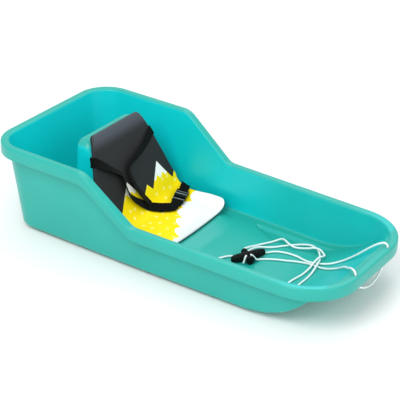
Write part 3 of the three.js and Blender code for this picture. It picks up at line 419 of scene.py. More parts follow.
FAR_STRAND = from_rim(
    [
        (781.5, 62, -1.3),
        (781.5, 62, 3),
        (779, 62, 6.4),
        (774, 61.5, 7.4),
        (765, 60, 3.4),
    ]
) + on_floor(
    [
        (745, 61, 9),
        (722, 64, 6),
        (700, 68, 3),
        (681, 66, 0.5),
        (662, 60, 0.3),
        (638, 59, 0.2),
        (612, 61, 0),
        (583, 67, 0),
        (558.8, 64.6, 0),
        (543.3, 58.4, 0),
        (534.7, 50.6, 0),
        (528.8, 42.8, 0),
        (523.1, 37.6, 0),
        (515.8, 26.5, 0.3),
        (511.4, 18.6, 1.1),
    ]
)
NEAR_STRAND = from_rim(
    [
        (781.5, -62, -1.3),
        (781.5, -62, 3),
        (779, -61, 6.4),
        (774, -58, 7.4),
        (765, -50, 3.4),
    ]
) + on_floor(
    [
        (754, -38, 8),
        (737, -11, 4.5),
        (719, 11, 4),
        (697, 27, 1.2),
        (676, 34, 0.5),
        (656, 41, 0.3),
        (636, 49, 0.2),
        (614, 53, 0),
        (593, 48, 0),
        (574.6, 39.1, 0),
        (562.8, 34.1, 0),
        (549.7, 26.8, 0),
        (537.2, 18, 0),
        (531.7, 12.3, 0.3),
        (530.1, 5.2, 2.9),
        (527.1, 1.5, 7.5),
        (523.9, -0.9, 12.1),
        (520.5, -3.9, 15.5),
    ]
)
STEM_TURN = on_floor(
    [
        (514.9, -10, 14.3),
        (514.8, -13.4, 11.7),
        (515, -16.3, 7.3),
        (514.6, -17.8, 3.1),
        (513.6, -18.9, 0.1),
    ]
)
LIP_STRETCH = from_rim(
    [
        (781.5, 62, -1.7),
        (781.5, 61.5, -9),
        (781.5, 56, -21),
        (781.5, 45, -35),
        (781.5, 31, -47.5),
        (781.5, 12, -53.5),
        (781.5, -8, -51.5),
        (781.5, -27, -44),
        (781.5, -43, -34),
        (781.5, -55.5, -20),
        (781.5, -61.5, -9),
        (781.5, -62, -1.7),
    ]
)
SLACK_LOOP = on_floor(
    [
        (498.1, 9.5, 15.3),
        (499, 16.4, 13.7),
        (498.6, 34.2, 8),
        (500.6, 48, 4),
        (505.9, 66.1, 1.2),
        (514.2, 83.2, 0),
        (519.9, 96.9, 0),
        (525.4, 106.9, 0.4),
        (536, 102, 3.4),
        (549, 93, 5),
        (566, 90, 3),
        (588, 102, 2.6),
        (601, 108, 5),
        (614, 107, 5),
        (629, 97, 2.6),
        (636, 87, 4),
        (633, 72, 7.6),
        (632, 54, 5.4),
        (634, 34, 2.4),
        (633, 8, 0.3),
        (627, -22, 0.3),
        (627, -47, 0.3),
        (637, -57, 0.3),
        (647, -49, 0.4),
        (651, -22, 0.4),
        (649, 14, 0.6),
        (645.5, 37, 4.6),
        (641.5, 54, 5.8),
        (636, 69, 3),
        (628, 84, 0.3),
        (616, 102, 0.2),
        (602, 116, 0),
        (586, 120.5, 0),
        (571, 113.5, 0),
        (549, 93, 0),
        (538.4, 80.5, 0),
        (530.5, 71.2, 0),
        (522.1, 63.1, 0.2),
        (513.1, 55.8, 1.2),
        (506.6, 44.1, 4),
        (504.9, 28.2, 8),
        (506.4, 9.6, 11.7),
    ]
)
TAIL_ROPE = on_floor(
    [
        (502.4, 0.8, 0.1),
        (496.4, -1.6, 0.1),
        (487.7, -7, 0.1),
        (479, -10, 0),
        (468, -25, 0),
        (461, -40, 0),
        (457, -53, 0),
    ]
)


# Materials
def linear(red, green, blue):
    """Linear colour from the values of a colour on screen, 0 to 255."""
    values = [part / 255 for part in (red, green, blue)]
    return tuple(
        part / 12.92 if part <= 0.04045 else ((part + 0.055) / 1.055) ** 2.4 for part in values
    ) + (1.0,)


class Nodes:
    """Short calls for the nodes of one material or group."""

    def __init__(self, tree):
        self.tree = tree

    def add(self, kind, links=(), **settings):
        node = self.tree.nodes.new(kind)
        for key, value in settings.items():
            setattr(node, key, value)
        for socket, value in dict(links).items():
            self.feed(node.inputs[socket], value)
        return node

    def feed(self, socket, value):
        if isinstance(value, bpy.types.NodeSocket):
            self.tree.links.new(value, socket)
        elif value is not None:
            socket.default_value = value

    def maths(self, operation, first, second=None, third=None, clamped=False):
        links = {0: first, 1: second, 2: third}
        links = {key: value for key, value in links.items() if value is not None}
        node = self.add("ShaderNodeMath", links, operation=operation, use_clamp=clamped)
        return node.outputs[0]

    def vector(self, operation, first, second=None, scale=None):
        node = self.add("ShaderNodeVectorMath", {0: first}, operation=operation)
        if second is not None:
            self.feed(node.inputs[1], second)
        if scale is not None:
            self.feed(node.inputs["Scale"], scale)
        return node.outputs["Value" if operation in ("LENGTH", "DISTANCE", "DOT_PRODUCT") else 0]

    def blend(self, share, first, second):
        node = self.add("ShaderNodeMix", data_type="RGBA")
        self.feed(node.inputs["Factor"], share)
        self.feed(node.inputs["A"], first)
        self.feed(node.inputs["B"], second)
        return node.outputs["Result"]

    def noise(self, vector, scale, detail=3.0, roughness=0.55):
        links = {"Vector": vector, "Scale": scale, "Detail": detail, "Roughness": roughness}
        return self.add("ShaderNodeTexNoise", links).outputs["Fac"]

    def ramp(self, value, start, end, low=0.0, high=1.0):
        links = {"Value": value, "From Min": start, "From Max": end, "To Min": low, "To Max": high}
        return self.add("ShaderNodeMapRange", links, interpolation_type="SMOOTHSTEP").outputs[0]

    def place(self, title, sources):
        group = self.add("ShaderNodeGroup", node_tree=bpy.data.node_groups[title])
        for socket, value in sources.items():
            self.feed(group.inputs[socket], value)
        return group.outputs


def build_group(title, inputs, outputs, fill):
    """A node group with named inputs and outputs; fill links its nodes."""
    tree = bpy.data.node_groups.new(title, "ShaderNodeTree")
    kinds = {"value": "NodeSocketFloat", "vector": "NodeSocketVector", "colour": "NodeSocketColor"}
    for name, kind, default in inputs:
        socket = tree.interface.new_socket(name=name, in_out="INPUT", socket_type=kinds[kind])
        if default is not None:
            socket.default_value = default
    for name, kind in outputs:
        tree.interface.new_socket(name=name, in_out="OUTPUT", socket_type=kinds[kind])
    nodes = Nodes(tree)
    entry = nodes.add("NodeGroupInput").outputs
    leave = nodes.add("NodeGroupOutput")
    for name, socket in fill(nodes, entry).items():
        nodes.feed(leave.inputs[name], socket)


# Values of the shared effects. A pair is where a mask starts and where it is full
GRAIN_DETAIL = 2.0
GRAIN_WAVE_SHARE = 0.02
SCUFF_STRETCH = (1.0, 14.0, 6.0)
SCUFF_LINES = (0.6, 0.72)
SCUFF_PATCH_SCALE = 9.0
SCUFF_PATCHES = (0.5, 0.68)
DRIFT_CLOUDS = (0.3, 0.7)
PICK_SHIFT = 0.5
PICK_HEIGHT_SHARE = 0.5
# The braid's grooves get painted shade
BRAID_HOLLOW_SHADE = (0.7, -0.4)
BRAID_PITCH = ROPE_BRAID_PITCH * MILLIMETRE


def fill_grain(nodes, entry):
    """Moulded skin: a fine grain over slow waves of the wall."""
    fine = nodes.noise(entry["Place"], entry["Fineness"], GRAIN_DETAIL)
    slow_scale = nodes.maths("MULTIPLY", entry["Fineness"], GRAIN_WAVE_SHARE)
    slow = nodes.noise(entry["Place"], slow_scale, GRAIN_DETAIL)
    waves = nodes.maths("MULTIPLY", slow, entry["Waviness"])
    return {"Height": nodes.maths("ADD", fine, waves), "Slow": slow}


def fill_scuffs(nodes, entry):
    """Thin rubbed lines in patches, and a dulling of the same patches."""
    along = nodes.vector("MULTIPLY", entry["Place"], SCUFF_STRETCH)
    lines = nodes.noise(along, entry["Fineness"], detail=4.0, roughness=0.7)
    lines = nodes.ramp(lines, *SCUFF_LINES)
    patches = nodes.ramp(nodes.noise(entry["Place"], SCUFF_PATCH_SCALE), *SCUFF_PATCHES)
    mask = nodes.maths("MULTIPLY", nodes.maths("MULTIPLY", lines, patches), entry["Amount"])
    return {"Mask": mask, "Dulling": nodes.maths("MULTIPLY", patches, entry["Amount"])}


def fill_drift(nodes, entry):
    """A slow change of depth in a colour."""
    cloud = nodes.noise(entry["Place"], entry["Scale"])
    depth = nodes.ramp(cloud, *DRIFT_CLOUDS, low=-1.0, high=1.0)
    step = nodes.maths("MULTIPLY_ADD", depth, entry["Amount"], 1.0)
    scaled = nodes.vector("SCALE", entry["Colour"], scale=step)
    return {"Colour": scaled}


def fill_weave(nodes, entry):
    """Webbing: ribs along the band, crossed by picks, with painted shade in the hollows."""
    parts = nodes.add("ShaderNodeSeparateXYZ", {"Vector": entry["Lay"]}).outputs
    rib = nodes.maths("DIVIDE", parts["Y"], entry["Rib"])
    pick = nodes.maths("DIVIDE", parts["X"], entry["Pick"])
    shifted = nodes.maths("MULTIPLY_ADD", nodes.maths("FLOOR", rib), PICK_SHIFT, pick)
    turn = nodes.maths("MULTIPLY", nodes.maths("FRACT", rib), math.pi)
    ribs = nodes.maths("SINE", turn)
    picks = nodes.maths("ABSOLUTE", nodes.maths("SINE", nodes.maths("MULTIPLY", shifted, math.pi)))
    crossed = nodes.maths("MULTIPLY_ADD", picks, PICK_HEIGHT_SHARE, 1 - PICK_HEIGHT_SHARE)
    height = nodes.maths("MULTIPLY", crossed, ribs)
    return {"Height": height, "Hollow shade": nodes.maths("SUBTRACT", 1.0, height, clamped=True)}


def fill_braid(nodes, entry):
    """Braided cord: two families of turns, over and under each other, with painted shade in the
    grooves.
    """
    parts = nodes.add("ShaderNodeSeparateXYZ", {"Vector": entry["Lay"]}).outputs
    along = nodes.maths("DIVIDE", parts["X"], entry["Pitch"])
    around = nodes.maths("MULTIPLY", parts["Y"], entry["Strands"])
    left = nodes.maths("SINE", nodes.maths("MULTIPLY", nodes.maths("ADD", along, around), math.tau))
    right = nodes.maths(
        "SINE", nodes.maths("MULTIPLY", nodes.maths("SUBTRACT", along, around), math.tau)
    )
    height = nodes.maths("MAXIMUM", left, right)
    return {"Height": height, "Hollow shade": nodes.ramp(height, *BRAID_HOLLOW_SHADE)}


def fill_print_and_shade(nodes, entry):
    """The pad's print: snow peaks over a yellow slope with pale flakes, a snow field; painted shade
    and sheen.
    """
    parts = nodes.add("ShaderNodeSeparateXYZ", {"Vector": entry["Lay"]}).outputs
    across, down = parts["X"], parts["Y"]
    ragged = nodes.noise(entry["Lay"], PRINT_RAGGED_SCALE, GRAIN_DETAIL)
    ragged = nodes.maths("MULTIPLY_ADD", ragged, PRINT_RAGGED, -PRINT_RAGGED / 2)
    slope = None
    for middle, top, steepness in PRINT_PEAKS:
        away = nodes.maths("ABSOLUTE", nodes.maths("SUBTRACT", across, middle))
        side = nodes.maths("MULTIPLY_ADD", away, steepness, top)
        slope = side if slope is None else nodes.maths("MINIMUM", slope, side)
    below = nodes.maths("SUBTRACT", down, slope)
    peak = nodes.ramp(below, 0.0, PRINT_EDGE)
    teeth = nodes.maths("PINGPONG", across, PRINT_TOOTH)
    cap_depth = nodes.maths("MULTIPLY_ADD", teeth, PRINT_TOOTH_SLOPE, PRINT_CAP)
    high = nodes.maths("SUBTRACT", cap_depth, down)
    high = nodes.maths("ADD", high, nodes.maths("MULTIPLY", ragged, PRINT_CAP_RAGGED_SHARE))
    cap = nodes.maths("MULTIPLY", nodes.ramp(high, 0.0, PRINT_EDGE), peak)
    cells = nodes.add(
        "ShaderNodeTexVoronoi",
        {"Vector": entry["Lay"], "Scale": PRINT_FLAKES, "Randomness": PRINT_FLAKE_SPREAD},
        feature="F1",
        voronoi_dimensions="2D",
    ).outputs["Distance"]
    flake = nodes.ramp(cells, *PRINT_FLAKE_RIM)
    drift_turn = nodes.maths("MULTIPLY", across, math.pi / PRINT_DRIFT_WIDTH)
    bulge = nodes.maths("ABSOLUTE", nodes.maths("SINE", drift_turn))
    fall = nodes.maths("MAXIMUM", nodes.maths("SUBTRACT", PRINT_SNOW_TURN, across), 0.0)
    snow_line = nodes.maths("MULTIPLY_ADD", fall, PRINT_SNOW_LEAN, PRINT_SNOW)
    snow_line = nodes.maths("MULTIPLY_ADD", bulge, -PRINT_DRIFT_DEPTH, snow_line)
    snow_line = nodes.maths("ADD", snow_line, ragged)
    snow = nodes.ramp(nodes.maths("SUBTRACT", down, snow_line), 0.0, PRINT_EDGE)
    # Painted shade: grey over the white toward the pad's front edge and its near side
    shade = nodes.ramp(down, *PRINT_SHADE_DOWN)
    near = nodes.ramp(across, *PRINT_SHADE_ACROSS)
    shade = nodes.maths("MULTIPLY", shade, near)
    shade = nodes.maths("MULTIPLY", shade, PRINT_SHADE)
    white = nodes.blend(shade, PRINT_WHITE, PRINT_SHADE_GREY)
    yellow = nodes.blend(flake, PRINT_YELLOW, PRINT_PALE)
    # Painted sheen: a paler, bluer band along the pad's top edge, as if light caught it
    painted_sheen = nodes.maths("MULTIPLY", nodes.ramp(down, *PRINT_PAINTED_SHEEN_DOWN), PRINT_PAINTED_SHEEN_SHARE)
    ground = nodes.blend(painted_sheen, entry["Ground"], PRINT_PAINTED_SHEEN)
    ground = nodes.blend(peak, ground, yellow)
    ground = nodes.blend(cap, ground, PRINT_WHITE)
    return {"Colour": nodes.blend(snow, ground, white), "Printed": nodes.maths("MAXIMUM", peak, snow)}


# The print's own design, in metres over the flat pad, with shade painted along its front edge
# and a sheen band painted along its top. Each peak has its place across, the distance of its
# top from the pad's top edge, and how fast its sides fall. A pair is where a mask starts and
# where it is full
PRINT_PEAKS = (
    (-0.078, 0.165, 1.1),
    (-0.022, 0.118, 1.35),
    (0.034, 0.146, 1.1),
    (0.082, 0.112, 1.5),
    (0.128, 0.15, 1.2),
)
PRINT_EDGE = 0.0006
PRINT_RAGGED_SCALE = 130.0
PRINT_RAGGED = 0.004
PRINT_TOOTH = 0.009
PRINT_TOOTH_SLOPE = 1.1
PRINT_CAP = 0.14
PRINT_CAP_RAGGED_SHARE = 0.3
PRINT_FLAKES = 42.0
PRINT_FLAKE_SPREAD = 0.55
PRINT_FLAKE_RIM = (0.16, 0.13)
PRINT_DRIFT_WIDTH = 0.034
PRINT_DRIFT_DEPTH = 0.014
PRINT_SNOW = 0.24
PRINT_SNOW_TURN = 0.07
PRINT_SNOW_LEAN = 0.62
PRINT_SHADE = 0.35
PRINT_SHADE_DOWN = (0.262, 0.312)
PRINT_SHADE_ACROSS = (0.13, 0.03)
PRINT_PAINTED_SHEEN_SHARE = 0.7
PRINT_PAINTED_SHEEN_DOWN = (0.034, 0.006)
# Colour of the painted sheen along the pad's top
PRINT_PAINTED_SHEEN = linear(84, 90, 99)
PRINT_YELLOW = linear(252, 224, 0)
PRINT_PALE = linear(253, 238, 120)
PRINT_WHITE = linear(247, 248, 249)
# The grey of the painted shade over the white
PRINT_SHADE_GREY = linear(168, 170, 174)

PLACE = ("Place", "vector", None)
LAY = ("Lay", "vector", None)
build_group(
    "moulded_grain",
    [PLACE, ("Fineness", "value", 900.0), ("Waviness", "value", 1.5)],
    [("Height", "value"), ("Slow", "value")],
    fill_grain,
)
build_group(
    "rubbed_scuffs",
    [PLACE, ("Fineness", "value", 40.0), ("Amount", "value", 0.5)],
    [("Mask", "value"), ("Dulling", "value")],
    fill_scuffs,
)
build_group(
    "colour_drift",
    [PLACE, ("Colour", "colour", None), ("Scale", "value", 6.0), ("Amount", "value", 0.04)],
    [("Colour", "colour")],
    fill_drift,
)
build_group(
    "webbing_weave",
    [LAY, ("Rib", "value", 0.0014), ("Pick", "value", 0.0016)],
    [("Height", "value"), ("Hollow shade", "value")],
    fill_weave,
)
build_group(
    "cord_braid",
    [LAY, ("Pitch", "value", BRAID_PITCH), ("Strands", "value", ROPE_BRAID_STRANDS)],
    [("Height", "value"), ("Hollow shade", "value")],
    fill_braid,
)
build_group(
    "pad_print_and_shade",
    [LAY, ("Ground", "colour", None)],
    [("Colour", "colour"), ("Printed", "value")],
    fill_print_and_shade,
)


def start_material(title, roughness, **fixed):
    material = bpy.data.materials.new(title)
    material.use_nodes = True
    nodes = Nodes(material.node_tree)
    shader = material.node_tree.nodes["Principled BSDF"]
    shader.inputs["Roughness"].default_value = roughness
    for socket, value in fixed.items():
        shader.inputs[socket.replace("_", " ")].default_value = value
    place_of = nodes.add("ShaderNodeTexCoord").outputs["Object"]
    return material, nodes, shader, place_of


def lay_of(nodes):
    """Where a point lies along and across its band, cord or sheet, in metres."""
    return nodes.add("ShaderNodeUVMap", uv_map="lay").outputs["UV"]


def raise_bump(nodes, shader, height, distance, strength):
    bump = nodes.add("ShaderNodeBump", {"Height": height, "Distance": distance, "Strength": strength})
    nodes.feed(shader.inputs["Normal"], bump.outputs["Normal"])


TEAL_OUTER = linear(34, 168, 156)
# The inner colour is cyan painted on as light; the moulding's own colour is the outer one
TEAL_INNER_PAINTED_LIGHT = linear(8, 203, 207)
TEAL_RUBBED = linear(84, 192, 184)
TEAL_ROUGHNESS = 0.3
TEAL_DULLING = 0.3
TEAL_WAVE_ROUGHNESS = 0.08
FOAM_GROUND = linear(45, 46, 48)
FOAM_ROUGHNESS = 0.62
PRINT_GLOSS = 0.12
WEBBING_BLACK = linear(15, 17, 16)
WEBBING_HOLLOW_SHADE = linear(5, 6, 6)
WEBBING_HOLLOW_SHADE_SHARE = 0.6
PLASTIC_BLACK = linear(9, 11, 11)
PLASTIC_RUBBED = linear(48, 51, 52)
PLASTIC_WAVE_ROUGHNESS = 0.1
PLASTIC_ROUGHNESS_BELOW = 0.03
GLINT = linear(196, 206, 202)
CORD_WHITE = linear(240, 250, 250)
CORD_HOLLOW_SHADE = linear(170, 195, 198)
CORD_HOLLOW_SHADE_SHARE = 0.35


def teal_plastic():
    material, nodes, shader, place_of = start_material(
        "teal_plastic", roughness=0.34, Specular_IOR_Level=0.4
    )
    # The inner side's cyan is painted light, blended in by the share stored on each point
    inner = nodes.add("ShaderNodeAttribute", attribute_name="painted_inner_light").outputs["Fac"]
    base = nodes.blend(inner, TEAL_OUTER, TEAL_INNER_PAINTED_LIGHT)
    drift = nodes.place("colour_drift", {"Place": place_of, "Colour": base, "Amount": 0.03})
    scuffs = nodes.place("rubbed_scuffs", {"Place": place_of, "Amount": 0.12})
    colour = nodes.blend(scuffs["Mask"], drift["Colour"], TEAL_RUBBED)
    nodes.feed(shader.inputs["Base Color"], colour)
    grain = nodes.place("moulded_grain", {"Place": place_of, "Fineness": 700.0})
    rough = nodes.maths("MULTIPLY_ADD", scuffs["Dulling"], TEAL_DULLING, TEAL_ROUGHNESS)
    rough = nodes.maths("MULTIPLY_ADD", grain["Slow"], TEAL_WAVE_ROUGHNESS, rough)
    nodes.feed(shader.inputs["Roughness"], rough)
    raise_bump(nodes, shader, grain["Height"], distance=0.0002, strength=0.25)
    return material


def pad_foam(printed):
    title = "printed_and_shaded_foam" if printed else "foam_back"
    material, nodes, shader, place_of = start_material(
        title, roughness=0.6, Sheen_Weight=0.02, Sheen_Roughness=0.5, Specular_IOR_Level=0.12
    )
    drift = nodes.place(
        "colour_drift", {"Place": place_of, "Colour": FOAM_GROUND, "Amount": 0.06}
    )
    colour = drift["Colour"]
    if printed:
        lay = lay_of(nodes)
        print_and_shade = nodes.place("pad_print_and_shade", {"Lay": lay, "Ground": colour})
        colour = print_and_shade["Colour"]
        rough = nodes.maths("MULTIPLY_ADD", print_and_shade["Printed"], -PRINT_GLOSS, FOAM_ROUGHNESS)
        nodes.feed(shader.inputs["Roughness"], rough)
    nodes.feed(shader.inputs["Base Color"], colour)
    grain = nodes.place(
        "moulded_grain", {"Place": place_of, "Fineness": 1600.0, "Waviness": 2.5}
    )
    raise_bump(nodes, shader, grain["Height"], distance=0.0003, strength=0.35)
    return material


def black_webbing():
    material, nodes, shader, place_of = start_material(
        "black_webbing",
        roughness=0.8,
        Sheen_Weight=0.02,
        Sheen_Roughness=0.4,
        Specular_IOR_Level=0.08,
    )
    lay = lay_of(nodes)
    weave = nodes.place("webbing_weave", {"Lay": lay})
    drift = nodes.place(
        "colour_drift",
        {"Place": place_of, "Colour": WEBBING_BLACK, "Scale": 40.0, "Amount": 0.15},
    )
    # Painted shade: the weave's hollows are darker
    shade = nodes.maths("MULTIPLY", weave["Hollow shade"], WEBBING_HOLLOW_SHADE_SHARE)
    colour = nodes.blend(shade, drift["Colour"], WEBBING_HOLLOW_SHADE)
    nodes.feed(shader.inputs["Base Color"], colour)
    raise_bump(nodes, shader, weave["Height"], distance=0.0003, strength=0.8)
    return material


def black_plastic(title="black_plastic", roughness=0.42, glints=None):
    material, nodes, shader, place_of = start_material(title, roughness, Specular_IOR_Level=0.14)
    drift = nodes.place(
        "colour_drift",
        {"Place": place_of, "Colour": PLASTIC_BLACK, "Scale": 60.0, "Amount": 0.1},
    )
    scuffs = nodes.place(
        "rubbed_scuffs", {"Place": place_of, "Fineness": 160.0, "Amount": 0.2}
    )
    colour = nodes.blend(scuffs["Mask"], drift["Colour"], PLASTIC_RUBBED)
    if glints is not None:
        colour = nodes.blend(glints(nodes, place_of), colour, GLINT)
    nodes.feed(shader.inputs["Base Color"], colour)
    grain = nodes.place("moulded_grain", {"Place": place_of, "Fineness": 2600.0})
    smoothest = roughness - PLASTIC_ROUGHNESS_BELOW
    rough = nodes.maths("MULTIPLY_ADD", grain["Slow"], PLASTIC_WAVE_ROUGHNESS, smoothest)
    nodes.feed(shader.inputs["Roughness"], rough)
    raise_bump(nodes, shader, grain["Height"], distance=0.0001, strength=0.35)
    return material


def white_cord():
    material, nodes, shader, place_of = start_material(
        "white_cord", roughness=0.55, Sheen_Weight=0.3, Sheen_Roughness=0.4
    )
    lay = lay_of(nodes)
    braid = nodes.place("cord_braid", {"Lay": lay})
    drift = nodes.place(
        "colour_drift",
        {"Place": place_of, "Colour": CORD_WHITE, "Scale": 30.0, "Amount": 0.03},
    )
    # Painted shade: the braid's grooves are grey-blue
    shade = nodes.maths("MULTIPLY", braid["Hollow shade"], CORD_HOLLOW_SHADE_SHARE)
    colour = nodes.blend(shade, drift["Colour"], CORD_HOLLOW_SHADE)
    nodes.feed(shader.inputs["Base Color"], colour)
    raise_bump(nodes, shader, braid["Height"], distance=0.0003, strength=0.6)
    return material


TEAL = teal_plastic()
PRINTED_AND_SHADED_FOAM = pad_foam(True)
WEBBING_CLOTH = black_webbing()
BLACK = black_plastic()
CORD = white_cord()

# Rope: round tubes laid along the routes
ROPE_SIDES = 16
ROPE_STEP = 1.6
LEAST_SIDE = 0.1


def tube_frames(line):
    """Two directions square to a line of points, which turn with it and don't twist."""
    ways = np.gradient(line, axis=0)
    ways /= np.linalg.norm(ways, axis=1)[:, None]
    side = np.cross(ways[0], (0.0, 0.0, 1.0))
    if np.linalg.norm(side) < LEAST_SIDE:
        side = np.cross(ways[0], (1.0, 0.0, 0.0))
    sides = []
    for way in ways:
        side = side - way * np.dot(side, way)
        side = side / np.linalg.norm(side)
        sides.append(side)
    sides = np.array(sides)
    return sides, np.cross(ways, sides)


def tube_mesh(line, marks, radius, sides=ROPE_SIDES, braid=ROPE_BRAID_DEPTH):
    """Points, faces and the lay of a braided tube, closed at both ends."""
    lefts, ups = tube_frames(line)
    points, uvs = [], []
    for centre, left, up, mark in zip(line, lefts, ups, marks):
        for index in range(sides):
            turn = math.tau * index / sides
            along = mark / ROPE_BRAID_PITCH
            crossing = max(
                math.sin(math.tau * along + ROPE_BRAID_STRANDS * turn),
                math.sin(math.tau * along - ROPE_BRAID_STRANDS * turn),
            )
            reach = radius - braid * (1 - crossing) / 2
            points.append(centre + reach * (math.cos(turn) * left + math.sin(turn) * up))
            uvs.append((mark * MILLIMETRE, index / sides))
    return points, grid_faces(len(line), sides), uvs


def rope_piece(name, route, node):
    line, marks = through_points(route, ROPE_STEP)
    points, faces, uvs = tube_mesh(line, marks, ROPE_DIAMETER / 2)
    rope = make_piece(name, points, faces, CORD, uvs)
    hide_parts(node)
    return rope, line, marks


def lay_rope(name, route, node):
    rope, line, marks = rope_piece(name, route, node)


KNOT_STEPS = 48
KNOT_CORD_RADIUS = 1.75
KNOT_CORD_SIDES = 12
KNOT_CORD_BRAID_DEPTH = 0.1
KNOT_START = 1.0
KNOT_RUN = 9.0
KNOT_SWAY_SHARE = 0.3
KNOT_CROSSING_SHARE = 0.16
KNOT_SIDE_REACH = 2.565
KNOT_SIDE_LAG = 0.6
KNOT_RISE_REACH = 2.36


def make_tail_knot():
    """The stopper at the rope's tail: one tube on a closed path that winds over itself."""
    end, before = TAIL_ROPE[-1], TAIL_ROPE[-2]
    way = Vector((end.x - before.x, end.y - before.y, 0.0)).normalized()
    across = Vector((-way.y, way.x, 0.0))
    start = end + way * TOUCH_GAP
    middle_height = FLOOR_HEIGHT + KNOT_RADIUS + TOUCH_GAP
    route = []
    for turn in spread(0.0, math.tau, KNOT_STEPS):
        sway = KNOT_SWAY_SHARE * math.sin(turn) + KNOT_CROSSING_SHARE * math.sin(2 * turn)
        along = KNOT_START + KNOT_RUN * (0.5 + sway)
        side = KNOT_SIDE_REACH * math.sin(2 * turn + KNOT_SIDE_LAG)
        rise = middle_height - start.z + KNOT_RISE_REACH * math.cos(3 * turn)
        route.append(start + way * along + across * side + Vector((0.0, 0.0, rise)))
    line = np.array([np.array(point) for point in route])
    steps = np.linalg.norm(np.diff(line, axis=0), axis=1)
    marks = np.concatenate([[0.0], np.cumsum(steps)])
    points, faces, uvs = tube_mesh(
        line[:-1], marks[:-1], KNOT_CORD_RADIUS, KNOT_CORD_SIDES, KNOT_CORD_BRAID_DEPTH
    )
    knot = make_piece("tail_stopper", points, faces, CORD, uvs)
    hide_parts("tail_knot")
    return knot


knot = make_tail_knot()
lay_rope("far_strand", FAR_STRAND, "rope_far")
short_turn = rope_piece("stem_turn", STEM_TURN, "rope_turn")[0]
lay_rope("near_strand", NEAR_STRAND, "rope_near")
lay_rope("lip_stretch", LIP_STRETCH, "rope_lip")
lay_rope("slack_loop", SLACK_LOOP, "rope_loop")
lay_rope("tail_rope", TAIL_ROPE, "rope_tail")


# Tub: rows of half rings, from the middle of the floor out over the rim and back below
CORNER_STEPS = 18
SIDE_STEP = 6.0
SIDE_END_MARGIN = 2.0
SIDE_LEAST_STEP = 1.2
ROUNDING_STEPS = 8
EDGE_SHARES = (0.0, 0.25, 0.5, 0.75)
INNER_WALL_SHARES = (0.75, 0.5, 0.25, 0.05)
OUTER_WALL_SHARES = (0.03, 0.25, 0.5, 0.75, 1.0)
RIM_CROWN = 0.25
HEM_ROUNDING = 0.8
HEM_CUT = 0.24
FOLD_ROUNDING = 4.0
FOLD_CUT = 1.2


def side_stations():
    count = int((STRAIGHT_FRONT - STRAIGHT_REAR) / SIDE_STEP)
    stations = spread(STRAIGHT_REAR, STRAIGHT_FRONT, count)[1:-1]
    for middle, rounding in (
        (RAMP_TOP_STATION, RAMP_TOP_ROUNDING),
        (RAMP_FOOT_STATION, RAMP_FOOT_ROUNDING),
    ):
        stations += spread(middle - rounding, middle + rounding, ROUNDING_STEPS)
    for start, blend in (
        (RUNNER_REAR_START, RUNNER_END_BLEND),
        (RUNNER_REAR_END - RUNNER_END_BLEND, RUNNER_END_BLEND),
        (RUNNER_FRONT_START, RUNNER_FRONT_SWEEP + RUNNER_END_BLEND),
    ):
        stations += spread(start, start + blend, int(blend / 2))
    stations.sort()
    kept = []
    for station in stations:
        from_end = min(station - STRAIGHT_REAR, STRAIGHT_FRONT - station)
        apart = not kept or station - kept[-1] > SIDE_LEAST_STEP
        if from_end > SIDE_END_MARGIN and apart:
            kept.append(station)
    return kept


SIDE_STATIONS = side_stations()


def half_ring(rear, front, half_width_at, rear_radius, front_radius):
    """Half a ring in plan: station, distance across and the inward direction."""
    rear_side, front_side = rear + rear_radius, front - front_radius
    rear_flat = half_width_at(rear_side) - rear_radius
    front_flat = half_width_at(front_side) - front_radius
    ring = [(rear, share * rear_flat, 1.0, 0.0) for share in EDGE_SHARES]
    turns = [math.pi / 2 * step / CORNER_STEPS for step in range(CORNER_STEPS + 1)]
    for turn in turns:
        sine, cosine = math.sin(turn), math.cos(turn)
        station = rear_side - rear_radius * cosine
        ring.append((station, rear_flat + rear_radius * sine, cosine, -sine))
    ring += [(station, half_width_at(station), 0.0, -1.0) for station in SIDE_STATIONS]
    for turn in turns:
        sine, cosine = math.sin(turn), math.cos(turn)
        station = front_side + front_radius * sine
        ring.append((station, front_flat + front_radius * cosine, -sine, -cosine))
    ring += [(front, share * front_flat, -1.0, 0.0) for share in reversed(EDGE_SHARES)]
    return ring


def rim_row(inset, drop):
    ring = half_ring(
        inset,
        TUB_LENGTH - inset,
        lambda station: rim_half_width(station) - inset,
        REAR_CORNER_RADIUS - inset,
        FRONT_CORNER_RADIUS - inset,
    )
    return [(station, across, rim_height(station) - drop) for station, across, _, _ in ring]


def wall_top(station):
    return rim_height(station) - RIM_INNER_FILLET


def foot_radius_at(station):
    return min(FOOT_RADIUS, (wall_top(station) - low_floor(station)) / 2)


def wall_foot(station):
    return low_floor(station) + max(0.0, foot_radius_at(station))


FOOT_RING = half_ring(
    RIM_WIDTH + REAR_LEAN_SHARE * (wall_top(0.0) - wall_foot(0.0)),
    NOSE_STATION,
    lambda station: rim_half_width(station)
    - RIM_WIDTH
    - SIDE_LEAN_SHARE * (wall_top(station) - wall_foot(station)),
    REAR_FOOT_CORNER_RADIUS,
    FRONT_FOOT_CORNER_RADIUS,
)


def wall_row(share, offset):
    top = rim_row(RIM_WIDTH - offset, RIM_INNER_FILLET)
    row = []
    for (station, across, height), (foot, foot_across, inward_x, inward_y) in zip(top, FOOT_RING):
        row.append(
            (
                lerp(station, foot - inward_x * offset, share),
                lerp(across, foot_across - inward_y * offset, share),
                lerp(height, wall_foot(foot), share),
            )
        )
    return row


def foot_row(turn, offset):
    row = []
    for station, across, inward_x, inward_y in FOOT_RING:
        radius = max(0.0, foot_radius_at(station))
        inset = radius - (radius + offset) * math.cos(turn)
        height = wall_foot(station) - (radius + offset) * math.sin(turn)
        row.append((station + inward_x * inset, across + inward_y * inset, height))
    return row


